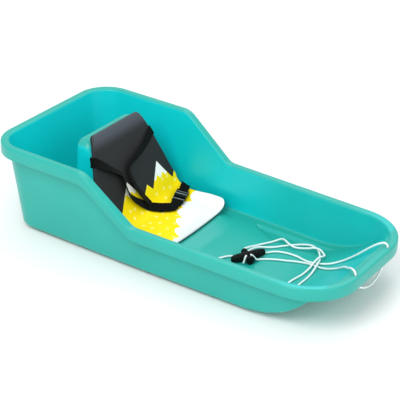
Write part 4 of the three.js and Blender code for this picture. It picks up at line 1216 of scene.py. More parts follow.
def floor_row(across, below):
    rear_radius = REAR_ROW_CORNER_SHARE * across
    front_radius = FRONT_ROW_CORNER_SHARE * across
    ring = half_ring(
        STRAIGHT_REAR - rear_radius,
        STRAIGHT_FRONT + front_radius,
        lambda station: across,
        rear_radius,
        front_radius,
    )
    row = []
    for station, distance, _, _ in ring:
        thickness = SHELL * math.hypot(1.0, bow_slope(station)) if below else 0.0
        row.append((station, distance, floor_at(station, across) - thickness))
    return row


FLANK_STEPS = 5
FILLET_STEPS = 6
FLOOR_ACROSS = (
    spread(RUNNER_OUTER, RUNNER_OUTER - RUNNER_FLANK, FLANK_STEPS)
    + [124.0, 116.0, 108.0]
    + spread(RUNNER_INNER + RUNNER_FLANK, RUNNER_INNER, FLANK_STEPS)
    + [90.0, 80.0, 65.0, 50.0, 35.0, 20.0]
)
FILLET_TURNS = spread(0.0, math.pi / 2, FILLET_STEPS)


def tub_rows():
    rows = [floor_row(across, False) for across in reversed(FLOOR_ACROSS)]
    rows += [foot_row(turn, 0.0) for turn in reversed(FILLET_TURNS)]
    rows += [wall_row(share, 0.0) for share in INNER_WALL_SHARES]
    for turn in reversed(FILLET_TURNS):
        inset = RIM_WIDTH - RIM_INNER_FILLET * (1 - math.sin(turn))
        rows.append(rim_row(inset, RIM_INNER_FILLET * (1 - math.cos(turn))))
    rows.append(rim_row(RIM_WIDTH / 2, -RIM_CROWN))
    for turn in FILLET_TURNS:
        inset = RIM_OUTER_FILLET * (1 - math.sin(turn))
        rows.append(rim_row(inset, RIM_OUTER_FILLET * (1 - math.cos(turn))))
    rows += [rim_row(0.0, SKIRT_DEPTH / 2), rim_row(0.0, SKIRT_DEPTH - HEM_ROUNDING)]
    rows += [rim_row(HEM_CUT, SKIRT_DEPTH - HEM_CUT), rim_row(HEM_ROUNDING, SKIRT_DEPTH)]
    rows += [rim_row(SHELL - HEM_ROUNDING, SKIRT_DEPTH)]
    rows += [rim_row(SHELL, SKIRT_DEPTH - HEM_ROUNDING)]
    fold, cut = SHELL + FOLD_ROUNDING, SHELL + FOLD_CUT
    rows += [rim_row(SHELL, fold), rim_row(cut, cut), rim_row(fold, SHELL)]
    rows += [rim_row(RIM_WIDTH - fold, SHELL), rim_row(RIM_WIDTH - cut, cut)]
    rows += [wall_row(share, SHELL) for share in OUTER_WALL_SHARES]
    rows += [foot_row(turn, SHELL) for turn in FILLET_TURNS[1:]]
    rows += [floor_row(across, True) for across in FLOOR_ACROSS]
    return rows


def mirrored(row):
    """A whole ring from a half one, in the frame's millimetres."""
    ring = row + [(s, -a, h) for s, a, h in reversed(row[1:-1])]
    return [place(*point) for point in ring]


def tray_mesh():
    rows = [mirrored(row) for row in tub_rows()]
    count = len(rows[0])
    half_count = (count + 2) // 2
    points = [point for row in rows for point in row]
    faces = grid_faces(len(rows), count, caps=False)
    for row, flip in ((0, False), (len(rows) - 1, True)):
        start = row * count
        for index in range(half_count - 1):
            far, far_next = (count - index) % count, count - index - 1
            face = [start + index, start + far, start + far_next, start + index + 1]
            face = list(dict.fromkeys(face))
            faces.append(tuple(reversed(face)) if flip else tuple(face))
    return points, faces


BACK_SLOPE = math.hypot(1.0, BACK_LEAN_SHARE)
HUMP_CORNER_STEPS = 8
HUMP_FLARE_STEPS = 20
HUMP_SIDE_STEPS = 6
HUMP_SHOULDER_STEPS = 14
HUMP_SHOULDER_FIRST_TURN = 0.1
HUMP_FLARE_LEVEL_SHARE = 0.97
HUMP_SIDE_START = 8.0


def pad_back_station(height):
    return PAD_TOP_STATION + BACK_LEAN_SHARE * (PAD_TOP_HEIGHT - height)


def hump_front_station(height):
    return pad_back_station(height) - (PAD_THICKNESS + PAD_STRAP_GAP) * BACK_SLOPE


def hump_section(height, inset, flared):
    """One level of the backrest, with its foot swept out onto the floor."""

    def rounded_inset(outer_radius):
        radius = outer_radius - inset
        rise = clamp(height - (HUMP_CREST - outer_radius), 0.0, radius)
        return inset + radius - math.sqrt(radius**2 - rise**2)

    spread_share = (HUMP_CREST - height) / (HUMP_CREST - FLOOR_HEIGHT)
    half_width = lerp(HUMP_HALF_WIDTH, HUMP_BASE_HALF_WIDTH, spread_share)
    half_width -= rounded_inset(HUMP_SHOULDER_RADIUS)
    rear = HUMP_REAR_STATION - HUMP_REAR_LEAN_SHARE * (HUMP_CREST - height)
    rear += rounded_inset(HUMP_REAR_EDGE_RADIUS)
    front = hump_front_station(height) - rounded_inset(HUMP_FRONT_EDGE_RADIUS)
    radius = min(HUMP_CORNER_RADIUS - inset, HUMP_CORNER_ROOM_SHARE * (front - rear))
    corners = (
        (front - radius, half_width - radius, 0),
        (rear + radius, half_width - radius, 1),
        (rear + radius, radius - half_width, 2),
        (front - radius, radius - half_width, 3),
    )
    ring = []
    for station, across, quarter in corners:
        for share in spread(0.0, 1.0, HUMP_CORNER_STEPS):
            turn = (quarter + share) * math.pi / 2
            reach = radius
            cosine, sine = math.cos(turn), math.sin(turn)
            if flared:
                level = height - floor_at(station + radius * cosine, across + radius * sine)
                lowest = HUMP_FOOT_FLARE * HUMP_FLARE_LEVEL_SHARE
                low = clamp(HUMP_FOOT_FLARE - level, 0.0, lowest)
                reach += HUMP_FOOT_FLARE - math.sqrt(HUMP_FOOT_FLARE**2 - low**2)
            ring.append(place(station + reach * cosine, across + reach * sine, height))
    return ring


def hump_mesh(inset, foot, flared):
    top = HUMP_CREST - inset
    shoulder = HUMP_SHOULDER_RADIUS - inset
    heights = [foot]
    if flared:
        heights += spread(foot + 1, SEAT_HEIGHT + HUMP_FOOT_FLARE, HUMP_FLARE_STEPS)
    heights += spread(heights[-1] + HUMP_SIDE_START, top - shoulder, HUMP_SIDE_STEPS)
    turns = spread(HUMP_SHOULDER_FIRST_TURN, math.pi / 2, HUMP_SHOULDER_STEPS)
    heights += [top - shoulder * (1 - math.sin(turn)) for turn in turns]
    rings = [hump_section(height, inset, flared) for height in heights]
    return [point for ring in rings for point in ring], grid_faces(len(rings), len(rings[0]))


def pad_profile(down):
    """Place of the pad's face at a distance down from its top edge, and its turn."""
    if down <= BACK_DOWN:
        height = PAD_TOP_HEIGHT - down / BACK_SLOPE
        return pad_back_station(height), height, BEND_TURN
    if down <= BACK_DOWN + BEND_DOWN:
        turn = BEND_TURN - (down - BACK_DOWN) / PAD_BEND_RADIUS
        station = SEAT_STATION - PAD_BEND_RADIUS * math.sin(turn)
        return station, PAD_SEAT_TOP + PAD_BEND_RADIUS * (1 - math.cos(turn)), turn
    return SEAT_STATION + down - BACK_DOWN - BEND_DOWN, PAD_SEAT_TOP, 0.0


BEND_TURN = math.atan2(1.0, BACK_LEAN_SHARE)
BEND_TANGENT = PAD_BEND_RADIUS * math.tan(BEND_TURN / 2)
BACK_DOWN = (PAD_TOP_HEIGHT - PAD_SEAT_TOP) * BACK_SLOPE - BEND_TANGENT
BEND_DOWN = PAD_BEND_RADIUS * BEND_TURN
SEAT_STATION = pad_back_station(PAD_SEAT_TOP) + BEND_TANGENT
PAD_LENGTH_DOWN = BACK_DOWN + BEND_DOWN + PAD_FRONT_STATION - SEAT_STATION


HIP_DOWN = BACK_DOWN + HIP_BEYOND_BACK
HIP_SLOT_STATION = pad_back_station(PAD_SEAT_TOP) + HIP_SLOT_AHEAD
BUCKLE_STATION = pad_back_station(PAD_SEAT_TOP) + BUCKLE_AHEAD


def pad_full_half_width(down):
    """Half width of the pad before its corners are cut."""
    share = clamp(down / PAD_WIDEST_DOWN, 0.0, 1.0) ** PAD_WIDENING_SHARE
    front = smooth(down, BACK_DOWN + BEND_DOWN, PAD_FRONT_WIDENING)
    width = lerp(PAD_TOP_HALF_WIDTH, PAD_HALF_WIDTH, share)
    return width + (PAD_FRONT_HALF_WIDTH - PAD_HALF_WIDTH) * front


def pad_half_width(down):
    top_cut = max(0.0, PAD_TOP_CORNER - down)
    top = PAD_TOP_CORNER - math.sqrt(max(0.0, PAD_TOP_CORNER**2 - top_cut**2))
    front_cut = max(0.0, down - (PAD_LENGTH_DOWN - PAD_FRONT_CORNER))
    front = PAD_FRONT_CORNER - math.sqrt(max(0.0, PAD_FRONT_CORNER**2 - front_cut**2))
    return pad_full_half_width(down) - top - front


def pad_edge_lift(down, across):
    curled = max(PAD_HALF_WIDTH, pad_full_half_width(down))
    beyond = max(0.0, abs(across) / curled - PAD_CURL_START_SHARE)
    rise = (beyond / (1 - PAD_CURL_START_SHARE)) ** 2
    return PAD_CURL * rise * smooth(down, BACK_DOWN - BEND_DOWN, 2 * BEND_DOWN)


def pad_normal(down):
    turn = pad_profile(down)[2]
    return Vector((math.sin(turn), 0.0, math.cos(turn)))


def pad_point(down, across, lift):
    station, height, _ = pad_profile(down)
    point = place(station, across, height)
    point.z += pad_edge_lift(down, across)
    return point + pad_normal(down) * lift


# Joins and cuts of the tub
HIP_YAW = BUCKLE_YAW - math.pi / 2
HIP_ALONG = Vector((-math.cos(HIP_YAW), math.sin(HIP_YAW), 0.0))
HIP_INWARD = Vector((-math.sin(HIP_YAW), -math.cos(HIP_YAW), 0.0))
HUMP_SUNK = 1.5
HOLLOW_FOOT = -4.0
SLOT_CUT = 7.0
SLOT_END_STEPS = 8
HOLE_STEPS = 32
TUB_CREASE = 38.0
SLOT_LIFT = -PAD_THICKNESS - PAD_STRAP_GAP
SHELL_LIFT = SHELL / BACK_SLOPE
DOWNWARD = Vector((BACK_LEAN_SHARE, 0.0, -1.0)).normalized()


def slot_mesh(at, along, normal):
    """A slot for the webbing, with round ends, cut along its normal."""
    side = along.cross(normal)
    end_radius = SLOT_WIDTH / 2
    flat = WEBBING_WIDTH / 2 + SLOT_MARGIN - end_radius
    ring = []
    for end in (1, -1):
        for turn in spread(0.0, math.pi, SLOT_END_STEPS):
            along_by = end * (flat + end_radius * math.sin(turn))
            ring.append(side * (end * end_radius * math.cos(turn)) + along * along_by)
    points = [at + offset + normal * level for level in (-SLOT_CUT, SLOT_CUT) for offset in ring]
    return points, grid_faces(2, len(ring))


def hole_mesh(at, radius, depth):
    turns = spread(0.0, math.tau, HOLE_STEPS)[:-1]
    ring = [Vector((radius * math.cos(turn), radius * math.sin(turn), 0.0)) for turn in turns]
    points = [at + offset + Vector((0, 0, level)) for level in (-depth, depth) for offset in ring]
    return points, grid_faces(2, len(ring))


def closed_object(name, mesh_data):
    """A throwaway solid for joins and cuts, facing out."""
    mesh = bpy.data.meshes.new(name)
    points, faces = mesh_data
    mesh.from_pydata([Vector(point) * MILLIMETRE for point in points], [], faces)
    build = bmesh.new()
    build.from_mesh(mesh)
    bmesh.ops.recalc_face_normals(build, faces=build.faces)
    build.to_mesh(mesh)
    build.free()
    solid = bpy.data.objects.new(name, mesh)
    bpy.context.scene.collection.objects.link(solid)
    return solid


def combine(base, steps):
    """Joins and cuts, in order, applied to the base's mesh."""
    for operation, tool in steps:
        change = base.modifiers.new(operation, "BOOLEAN")
        change.operation = operation
        change.solver = "EXACT"
        change.object = tool
    seen = base.evaluated_get(bpy.context.evaluated_depsgraph_get())
    mesh = bpy.data.meshes.new_from_object(seen)
    base.modifiers.clear()
    base.data = mesh
    for _, tool in steps:
        bpy.data.objects.remove(tool)
    return base


# Painted light: a cyan cast painted on the walls' inner side, on the hump and on the bow's
# floor, standing in for how they are lit; the moulding itself is one colour. A pair is where
# it starts and over how much it grows, in metres toward the middle, in shares of a normal's
# turn, or in millimetres
TINT_MIDDLE = Vector((0.0, 0.0, 0.14))
TINT_INWARD = (-0.01, 0.06)
TINT_UPRIGHT = (0.1, 0.75)
TINT_HUMP_MARGINS = (6.0, 4.0)
TINT_HUMP_HEIGHT = (26.0, 20.0)
TINT_HUMP_UPRIGHT = (0.3, 0.5)
TINT_FRONT_STATION = (400.0, 120.0)
TINT_FRONT_LOSS_SHARE = 0.45
TINT_BOW_LEVEL = (0.4, 0.4)
TINT_BOW_INWARD = (-0.05, 0.06)
TINT_BOW_STATION = (640.0, 90.0)
TINT_BOW_END = 762.0
TINT_BOW_END_BLEND = 6.0
TINT_BOW_SHARE = 0.5


def on_hump(station, across):
    behind, beside = TINT_HUMP_MARGINS
    along = HUMP_REAR_STATION - behind < station < SEAT_FRONT_STATION
    return along and across < HUMP_BASE_HALF_WIDTH + beside


def painted_inner_light_share(point, normal):
    """How far one point of the tub takes the cyan painted on as light on the inner side."""
    inward = (TINT_MIDDLE - point).dot(normal)
    upright = 1 - abs(normal.z)
    station = point.x / MILLIMETRE + TUB_LENGTH / 2
    tint = smooth(inward, *TINT_INWARD) * smooth(upright, *TINT_UPRIGHT)
    if on_hump(station, abs(point.y) / MILLIMETRE):
        raised = smooth(point.z / MILLIMETRE, *TINT_HUMP_HEIGHT)
        tint = max(tint, raised * smooth(upright, *TINT_HUMP_UPRIGHT))
    tint *= 1 - TINT_FRONT_LOSS_SHARE * smooth(station, *TINT_FRONT_STATION)
    bow = smooth(normal.z, *TINT_BOW_LEVEL) * smooth(inward, *TINT_BOW_INWARD)
    bow *= smooth(station, *TINT_BOW_STATION)
    bow *= smooth(TINT_BOW_END - station, 0.0, TINT_BOW_END_BLEND)
    return max(tint, TINT_BOW_SHARE * bow)


# Each point of the tub keeps its share of painted light, for the material
def mark_painted_inner_light(mesh):
    layer = mesh.attributes.new("painted_inner_light", "FLOAT", "POINT")
    for vertex in mesh.vertices:
        layer.data[vertex.index].value = painted_inner_light_share(vertex.co, vertex.normal)


def finish_solid(solid, material, crease, node):
    """One material and smooth faces, with edges over the crease angle left sharp."""
    mesh = solid.data
    mesh.materials.clear()
    mesh.materials.append(material)
    mesh.shade_smooth()
    mesh.set_sharp_from_angle(angle=math.radians(crease))
    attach(solid, BODY)
    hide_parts(node)


def make_tub():
    tray = closed_object("moulded_tub", tray_mesh())
    steps = [
        ("UNION", closed_object("hump", hump_mesh(0.0, FLOOR_HEIGHT - HUMP_SUNK, True))),
        ("DIFFERENCE", closed_object("hollow", hump_mesh(SHELL, HOLLOW_FOOT, False))),
    ]
    for side in (-1, 1):
        at = pad_point(SHOULDER_SLOT_DOWN, side * SHOULDER_SLOT_ACROSS, SLOT_LIFT - SHELL_LIFT / 2)
        cut = slot_mesh(at, DOWNWARD, pad_normal(0.0))
        steps.append(("DIFFERENCE", closed_object("shoulder_slot", cut)))
    at = place(HIP_SLOT_STATION, HIP_SLOT_ACROSS, SEAT_HEIGHT - SHELL / 2)
    cut = slot_mesh(at, HIP_ALONG, Vector((0.0, 0.0, 1.0)))
    steps.append(("DIFFERENCE", closed_object("hip_slot", cut)))
    for side in (-1, 1):
        at = place(TUB_LENGTH - ROPE_HOLE_INSET, side * ROPE_HOLE_ACROSS, rim_height(TUB_LENGTH))
        cut = hole_mesh(at, ROPE_HOLE_DIAMETER / 2, SKIRT_DEPTH)
        steps.append(("DIFFERENCE", closed_object("rope_hole", cut)))
    tub = combine(tray, steps)
    finish_solid(tub, TEAL, TUB_CREASE, "tub")
    mark_painted_inner_light(tub.data)


make_tub()

# Seat pad: a bent foam sheet with soft edges and a printed face
PAD_EDGE_ROUNDING = 3.4
PAD_ROW_STEP = 3.0
PAD_COLUMNS = 64
PAD_TOP_ROLL = 5.0
PAD_TOP_ROLL_DOWN = 26.0
PAD_SWELL = 0.24
PAD_COLUMN_EVENNESS = 0.45
PAD_EDGE_STEPS = 8
PAD_END_ROWS = (0.4, 1.2, 2.2)
PAD_LEAST_THICKNESS_SHARE = 0.12
PRINT_OVER_EDGE = 2

# A dent in the foam, in every pose, where the pulled insert comes to lie
PAD_DENT = 0.9
PAD_DENT_REACH = 15.0
INSERT_TRAVEL = 24.0
BUCKLE_PLACE = place(BUCKLE_STATION, BUCKLE_ACROSS, PAD_SEAT_TOP + BUCKLE_LIFT)
BUCKLE_TURN = (
    Matrix.Rotation(BUCKLE_YAW, 4, "Z")
    @ Matrix.Rotation(BUCKLE_PITCH, 4, "Y")
    @ Matrix.Rotation(BUCKLE_ROLL, 4, "X")
)
BUCKLE_MATRIX = Matrix.Translation(BUCKLE_PLACE) @ BUCKLE_TURN


def from_buckle(x, y, z):
    return BUCKLE_MATRIX @ Vector((x, y, z))


def pad_loop(width):
    """One crosswise section, as places across and lifts: face, edge, back and edge."""
    inner = max(0.0, width - PAD_EDGE_ROUNDING)
    face = []
    for value in spread(-1.0, 1.0, PAD_COLUMNS):
        share = lerp(value, math.sin(math.pi / 2 * value), PAD_COLUMN_EVENNESS)
        face.append((share * inner, 0.0))
    half_thick = PAD_THICKNESS / 2
    edge = []
    for turn in spread(0.0, math.pi, PAD_EDGE_STEPS)[1:-1]:
        edge.append((inner + PAD_EDGE_ROUNDING * math.sin(turn), half_thick * (math.cos(turn) - 1)))
    back = [(across, -PAD_THICKNESS) for across, _ in reversed(face)]
    return face + edge + back + [(-across, lift) for across, lift in reversed(edge)]


def pad_rows():
    """Distances down the pad: even ones, with closer ones at both ends."""
    downs = spread(0.0, PAD_LENGTH_DOWN, int(PAD_LENGTH_DOWN / PAD_ROW_STEP))
    downs += PAD_END_ROWS
    downs += [PAD_LENGTH_DOWN - value for value in PAD_END_ROWS]
    return sorted(downs)


def pad_thickness_share(down):
    """How far the pad keeps its thickness toward its two rounded ends."""
    end = min(down, PAD_LENGTH_DOWN - down)
    cut = 1 - min(1.0, end / PAD_EDGE_ROUNDING)
    return max(math.sqrt(max(0.0, 1 - cut**2)), PAD_LEAST_THICKNESS_SHARE)


def pad_dent(point):
    landing = from_buckle(-BUCKLE_LENGTH / 2 - INSERT_TRAVEL, 0.0, -INSERT_PLATE_HEIGHT / 2)
    off = math.hypot(point.x - landing.x, point.y - landing.y) / PAD_DENT_REACH
    return PAD_DENT * math.exp(-(off**4))


def make_pad():
    downs = pad_rows()
    points, uvs, count = [], [], None
    for down in downs:
        width = pad_half_width(down)
        section = pad_loop(width)
        count = len(section)
        squeeze = pad_thickness_share(down)
        roll = max(0.0, 1 - down / PAD_TOP_ROLL_DOWN) ** 2 * PAD_TOP_ROLL
        for across, lift in section:
            share = across / width
            printed = lift > -PAD_THICKNESS / 2
            bow = PAD_FRONT_BOW * share**2 * smooth(down, BACK_DOWN + BEND_DOWN, PAD_HALF_WIDTH)
            swell = PAD_SWELL * (1 - share**2) if printed else 0.0
            centred = (lift + PAD_THICKNESS / 2) * squeeze - PAD_THICKNESS / 2
            point = pad_point(down - bow, across, centred + swell * squeeze)
            if printed:
                point.z -= pad_dent(point)
            points.append(point + Vector((-roll, 0.0, 0.0)))
            uvs.append((across * MILLIMETRE, (down - bow) * MILLIMETRE))
    pad = make_piece("printed_pad", points, grid_faces(len(downs), count), None, uvs)
    mesh = pad.data
    mesh.materials.append(PRINTED_AND_SHADED_FOAM)
    mesh.materials.append(pad_foam(False))
    # The print goes two steps over the far edge. At the near edge it leaves the first one bare
    facing = PAD_COLUMNS + PRINT_OVER_EDGE
    for polygon in mesh.polygons:
        columns = [index % count for index in polygon.vertices]
        printed = len(columns) == 4 and (
            max(columns) <= facing or min(columns) >= count - PRINT_OVER_EDGE
        )
        polygon.material_index = 0 if printed else 1
    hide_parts("seat_pad")


make_pad()


# Webbing: bands along frames, each a centre and the direction across the band
STRAP_STEP = 1.5
FACE_STEP = 4.0
WEBBING_EDGE = 0.9
WEBBING_FLAT_SHARE = 0.92
WEBBING_FLAT_STEPS = 10
WEBBING_EDGE_STEPS = 6
WEBBING_CREASE = 50.0
TILT_EDGE_ON = -41.0
TILT_WAIST = 38.0
FAR_STRAP_SHARES = (
    (0.161, 0.66, -10.0),
    (0.193, 0.526, -20.0),
    (0.224, 0.362, -26.0),
    (0.25, 0.18, -36.0),
    (0.268, 0.02, TILT_EDGE_ON),
    (0.284, -0.062, -36.0),
    (0.306, -0.086, -29.0),
    (0.342, -0.094, -28.0),
    (0.402, -0.06, -29.0),
    (0.455, -0.023, -31.0),
    (0.509, 0.05, -30.0),
    (0.56, 0.12, -22.0),
    (0.6, 0.165, -8.0),
)
NEAR_STRAP_SHARES = (
    (0.172, -0.66, -12.0),
    (0.212, -0.545, -28.0),
    (0.252, -0.431, -43.0),
    (0.284, -0.34, -47.0),
    (0.311, -0.285, TILT_EDGE_ON),
    (0.354, -0.268, TILT_EDGE_ON),
    (0.403, -0.266, TILT_EDGE_ON),
    (0.456, -0.244, TILT_EDGE_ON),
    (0.5, -0.17, -34.0),
)
WAIST_SHARES = (
    (0.548, -0.05, -24.0),
    (0.6, 0.09, 4.0),
    (0.655, 0.19, 30.0),
    (0.705, 0.27, TILT_WAIST),
    (0.733, 0.37, 26.0),
)
LOOP_RADIUS = ANCHOR_BAR_RADIUS + TOUCH_GAP + WEBBING / 2
LOOP_TURNS = spread(0.0, 1.5 * math.pi, 12)
GAP_LIFT = -PAD_THICKNESS - PAD_STRAP_GAP / 2
COLLAR_RADIUS = ANCHOR_BAR_RADIUS + 2 * TOUCH_GAP + WEBBING
SHOULDER_ANCHOR_LIFT = SLOT_LIFT - SHELL_LIFT - TOUCH_GAP - COLLAR_RADIUS
STRAP_OFF = STRAP_CLEARANCE + WEBBING / 2


def on_face(shares, extra):
    return [(d * PAD_LENGTH_DOWN, a * PAD_HALF_WIDTH, tilt, extra) for d, a, tilt in shares]


def face_frames(points):
    """Frames over the pad's face through points of down, across, tilt and extra lift."""
    flat_points = [(d, a, 0.0, tilt, extra) for d, a, tilt, extra in points]
    marks, _ = through_points(flat_points, FACE_STEP)
    centres = []
    for down, across, _, degrees, extra in marks:
        tilt = math.radians(degrees)
        lift = STRAP_OFF + WEBBING_WIDTH / 2 * abs(math.sin(tilt)) + extra
        centres.append((down, tilt, pad_point(down, across, lift)))
    frames = []
    for index, (down, tilt, at) in enumerate(centres):
        before = centres[max(0, index - 1)][2]
        after = centres[min(len(centres) - 1, index + 1)][2]
        along = (after - before).normalized()
        flat = pad_normal(down).cross(along).normalized()
        raised = along.cross(flat).normalized()
        frames.append((at, flat * math.cos(tilt) + raised * math.sin(tilt)))
    return frames


def shoulder_lead(side):
    """From the anchor bar through the slot, behind the pad and over its edge."""
    down = SHOULDER_SLOT_DOWN
    widening = pad_half_width(down + WEBBING_WIDTH) - pad_half_width(down)
    skewed = DOWNWARD + Vector((0.0, side * widening / WEBBING_WIDTH, 0.0))
    edge = pad_half_width(down)
    rows = [
        (
            SHOULDER_SLOT_ACROSS + LOOP_RADIUS + LOOP_RADIUS * math.sin(turn),
            SHOULDER_ANCHOR_LIFT + LOOP_RADIUS * math.cos(turn),
            DOWNWARD,
        )
        for turn in LOOP_TURNS
    ]
    rows += [
        (SHOULDER_SLOT_ACROSS, SLOT_LIFT - SHELL_LIFT, DOWNWARD),
        (SHOULDER_SLOT_ACROSS, GAP_LIFT - WEBBING / 2, DOWNWARD),
        (SHOULDER_SLOT_ACROSS + WEBBING / 2, GAP_LIFT, DOWNWARD),
        ((SHOULDER_SLOT_ACROSS + edge) / 2, GAP_LIFT, skewed),
        (edge + STRAP_CLEARANCE, GAP_LIFT, skewed),
        (edge + STRAP_OFF, STRAP_CLEARANCE + GAP_LIFT, skewed),
        (edge + STRAP_OFF, -PAD_THICKNESS / 2, skewed),
        (edge + STRAP_OFF, -STRAP_CLEARANCE, skewed),
        (edge, STRAP_OFF, skewed),
    ]
    return [
        (pad_point(down, side * across, lift), direction * side)
        for across, lift, direction in rows
    ]


def bar_frames(outward, bar_height):
    """Round a strap bar of the buckle, from the cut end under it to the way out over it."""
    middle = outward * (BUCKLE_LENGTH / 2 - STRAP_BAR / 2)
    length, height = STRAP_BAR / 2, bar_height / 2
    off = TOUCH_GAP + WEBBING / 2
    tail = length + STRAP_GATE
    turns = [(tail, -height - off), (tail / 2, -height - off)]
    turns += [(-length - TOUCH_GAP, -height - off), (-length - off, -height - TOUCH_GAP)]
    turns += [(-length - off, height + TOUCH_GAP), (-length - TOUCH_GAP, height + off)]
    turns += [(tail, height + off)]
    across = (BUCKLE_TURN @ Vector((0.0, 1.0, 0.0))).normalized()
    return [(from_buckle(middle + outward * along, 0.0, z), across) for along, z in turns]


def hip_frames():
    edge = pad_half_width(HIP_DOWN)
    slope = pad_normal(HIP_DOWN)
    fold_across = Vector((-slope.z, 0.0, slope.x)) / math.cos(HIP_YAW)
    slot = place(HIP_SLOT_STATION, HIP_SLOT_ACROSS, SEAT_HEIGHT)
    hollow = HIP_FOLD_RISE_SHARE * WEBBING_WIDTH**2 / (8 * PAD_BEND_RADIUS)
    fold = [
        (edge + STRAP_CLEARANCE, STRAP_OFF + hollow),
        (edge + STRAP_OFF, STRAP_CLEARANCE + hollow),
        (edge + STRAP_OFF, -PAD_THICKNESS / 2),
        (edge + STRAP_OFF, -PAD_THICKNESS - STRAP_CLEARANCE),
        (edge + STRAP_CLEARANCE, -PAD_THICKNESS - STRAP_OFF),
    ]
    rows = bar_frames(1, STRAP_BAR_HEIGHT)
    rows += [(pad_point(HIP_DOWN, across, lift), fold_across) for across, lift in fold]

    def seat(back, rise):
        return slot - HIP_INWARD * back + Vector((0.0, 0.0, rise)), HIP_ALONG

    bar_level = -SHELL - TOUCH_GAP - COLLAR_RADIUS
    rows += [seat(WEBBING_WIDTH, 2 * STRAP_OFF), seat(WEBBING * 2, STRAP_OFF)]
    rows += [seat(WEBBING / 2, STRAP_OFF), seat(0.0, WEBBING / 2), seat(0.0, -SHELL)]
    for turn in reversed(LOOP_TURNS):
        back = -LOOP_RADIUS - LOOP_RADIUS * math.sin(turn)
        rows.append(seat(back, bar_level + LOOP_RADIUS * math.cos(turn)))
    return rows


def band_section():
    """Outline of the webbing: a flat band with soft, slightly fuller edges."""
    flat, half_thick = WEBBING_WIDTH / 2 - WEBBING_EDGE, WEBBING / 2
    half = [
        (value * flat, half_thick * WEBBING_FLAT_SHARE)
        for value in spread(-1, 1, WEBBING_FLAT_STEPS)
    ]
    half += [
        (flat + WEBBING_EDGE * math.sin(turn), half_thick * math.cos(turn))
        for turn in spread(0.0, math.pi, WEBBING_EDGE_STEPS)
    ]
    return half + [(-side, -level) for side, level in half]


def make_strap(name, frames, node, rides=BODY):
    rows = [tuple(at) + tuple(across) for at, across in frames]
    line, marks = through_points(rows, STRAP_STEP)
    centres, acrosses = line[:, :3], line[:, 3:]
    ways = np.gradient(centres, axis=0)
    ways /= np.linalg.norm(ways, axis=1)[:, None]
    section = band_section()
    points, uvs = [], []
    for centre, across, way, mark in zip(centres, acrosses, ways, marks):
        across = across - way * np.dot(across, way)
        across /= np.linalg.norm(across)
        up = np.cross(way, across)
        for side, level in section:
            points.append(centre + across * side + up * level)
            uvs.append((mark * MILLIMETRE, side * MILLIMETRE))
    faces = grid_faces(len(centres), len(section))
    strap = make_piece(name, points, faces, WEBBING_CLOTH, uvs, WEBBING_CREASE, rides)
    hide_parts(node)
    return strap


near_points = on_face(NEAR_STRAP_SHARES, 0.0) + on_face(WAIST_SHARES, WAIST_LIFT)
near_frames = shoulder_lead(-1) + face_frames(near_points)
near_frames += list(reversed(bar_frames(-1, INSERT_PLATE_HEIGHT)))
near_strap = make_strap("near_strap", near_frames, "strap_near", None)

# A point on the near strap's waist part; the strap's place is baked into its mesh
bend_down_share, bend_across_share, _ = WAIST_SHARES[1]
waist_start = pad_point(bend_down_share * PAD_LENGTH_DOWN, bend_across_share * PAD_HALF_WIDTH, 0.0)
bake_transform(near_strap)

far_points = on_face(FAR_STRAP_SHARES, 0.0)
make_strap("far_strap", shoulder_lead(1) + face_frames(far_points), "strap_far")
make_strap("hip_band", hip_frames(), "hip_strap")


# Turned pieces. Their outlines start and end just off the axis, in a small cap
AXIS_RADIUS = 0.05
TURNED_SIDES = 40
CORNER_ROOM = 2.2
COLLAR_WIDTH = 2.5
COLLAR_ROUNDING = 0.7
ANCHOR_CREASE = 40.0


def turned_mesh(outline):
    """A closed turned shape from radius and place along its axis, which is X."""
    points = []
    for radius, along in outline:
        for turn in spread(0.0, math.tau, TURNED_SIDES)[:-1]:
            points.append(Vector((along, radius * math.cos(turn), radius * math.sin(turn))))
    return points, grid_faces(len(outline), TURNED_SIDES)


def rounded(outline, reach, steps=4):
    """An outline with each inner corner cut back by an arc of about that reach."""
    result = [outline[0]]
    for before, corner, after in zip(outline, outline[1:], outline[2:]):
        before, corner, after = Vector(before), Vector(corner), Vector(after)
        to_before, to_after = before - corner, after - corner
        cut = min(reach, to_before.length / CORNER_ROOM, to_after.length / CORNER_ROOM)
        start = corner + to_before.normalized() * cut
        end = corner + to_after.normalized() * cut
        for share in spread(0.0, 1.0, steps):
            result.append(tuple(start.lerp(corner, share).lerp(corner.lerp(end, share), share)))
    return result + [outline[-1]]


def make_anchor(name, at, direction):
    inner = WEBBING_WIDTH / 2 + STRAP_CLEARANCE
    outer = inner + COLLAR_WIDTH
    end = [
        (ANCHOR_BAR_RADIUS, inner),
        (COLLAR_RADIUS, inner),
        (COLLAR_RADIUS, outer),
        (AXIS_RADIUS, outer),
    ]
    outline = [(radius, -along) for radius, along in reversed(end)] + end
    points, faces = turned_mesh(rounded(outline, COLLAR_ROUNDING))
    turn = Vector((1, 0, 0)).rotation_difference(direction.normalized()).to_matrix()
    points = [at + turn @ point for point in points]
    anchor = make_piece(
        name + "_turned", points, faces, BLACK, crease=ANCHOR_CREASE
    )
    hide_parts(name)


for title, side in (("anchor_near", -1), ("anchor_far", 1)):
    bar_across = side * (SHOULDER_SLOT_ACROSS + LOOP_RADIUS)
    make_anchor(title, pad_point(SHOULDER_SLOT_DOWN, bar_across, SHOULDER_ANCHOR_LIFT), DOWNWARD)
hip_bar_height = SEAT_HEIGHT - SHELL - TOUCH_GAP - COLLAR_RADIUS
hip_slot_below = place(HIP_SLOT_STATION, HIP_SLOT_ACROSS, hip_bar_height)
make_anchor("anchor_hip", hip_slot_below + HIP_INWARD * LOOP_RADIUS, HIP_ALONG)


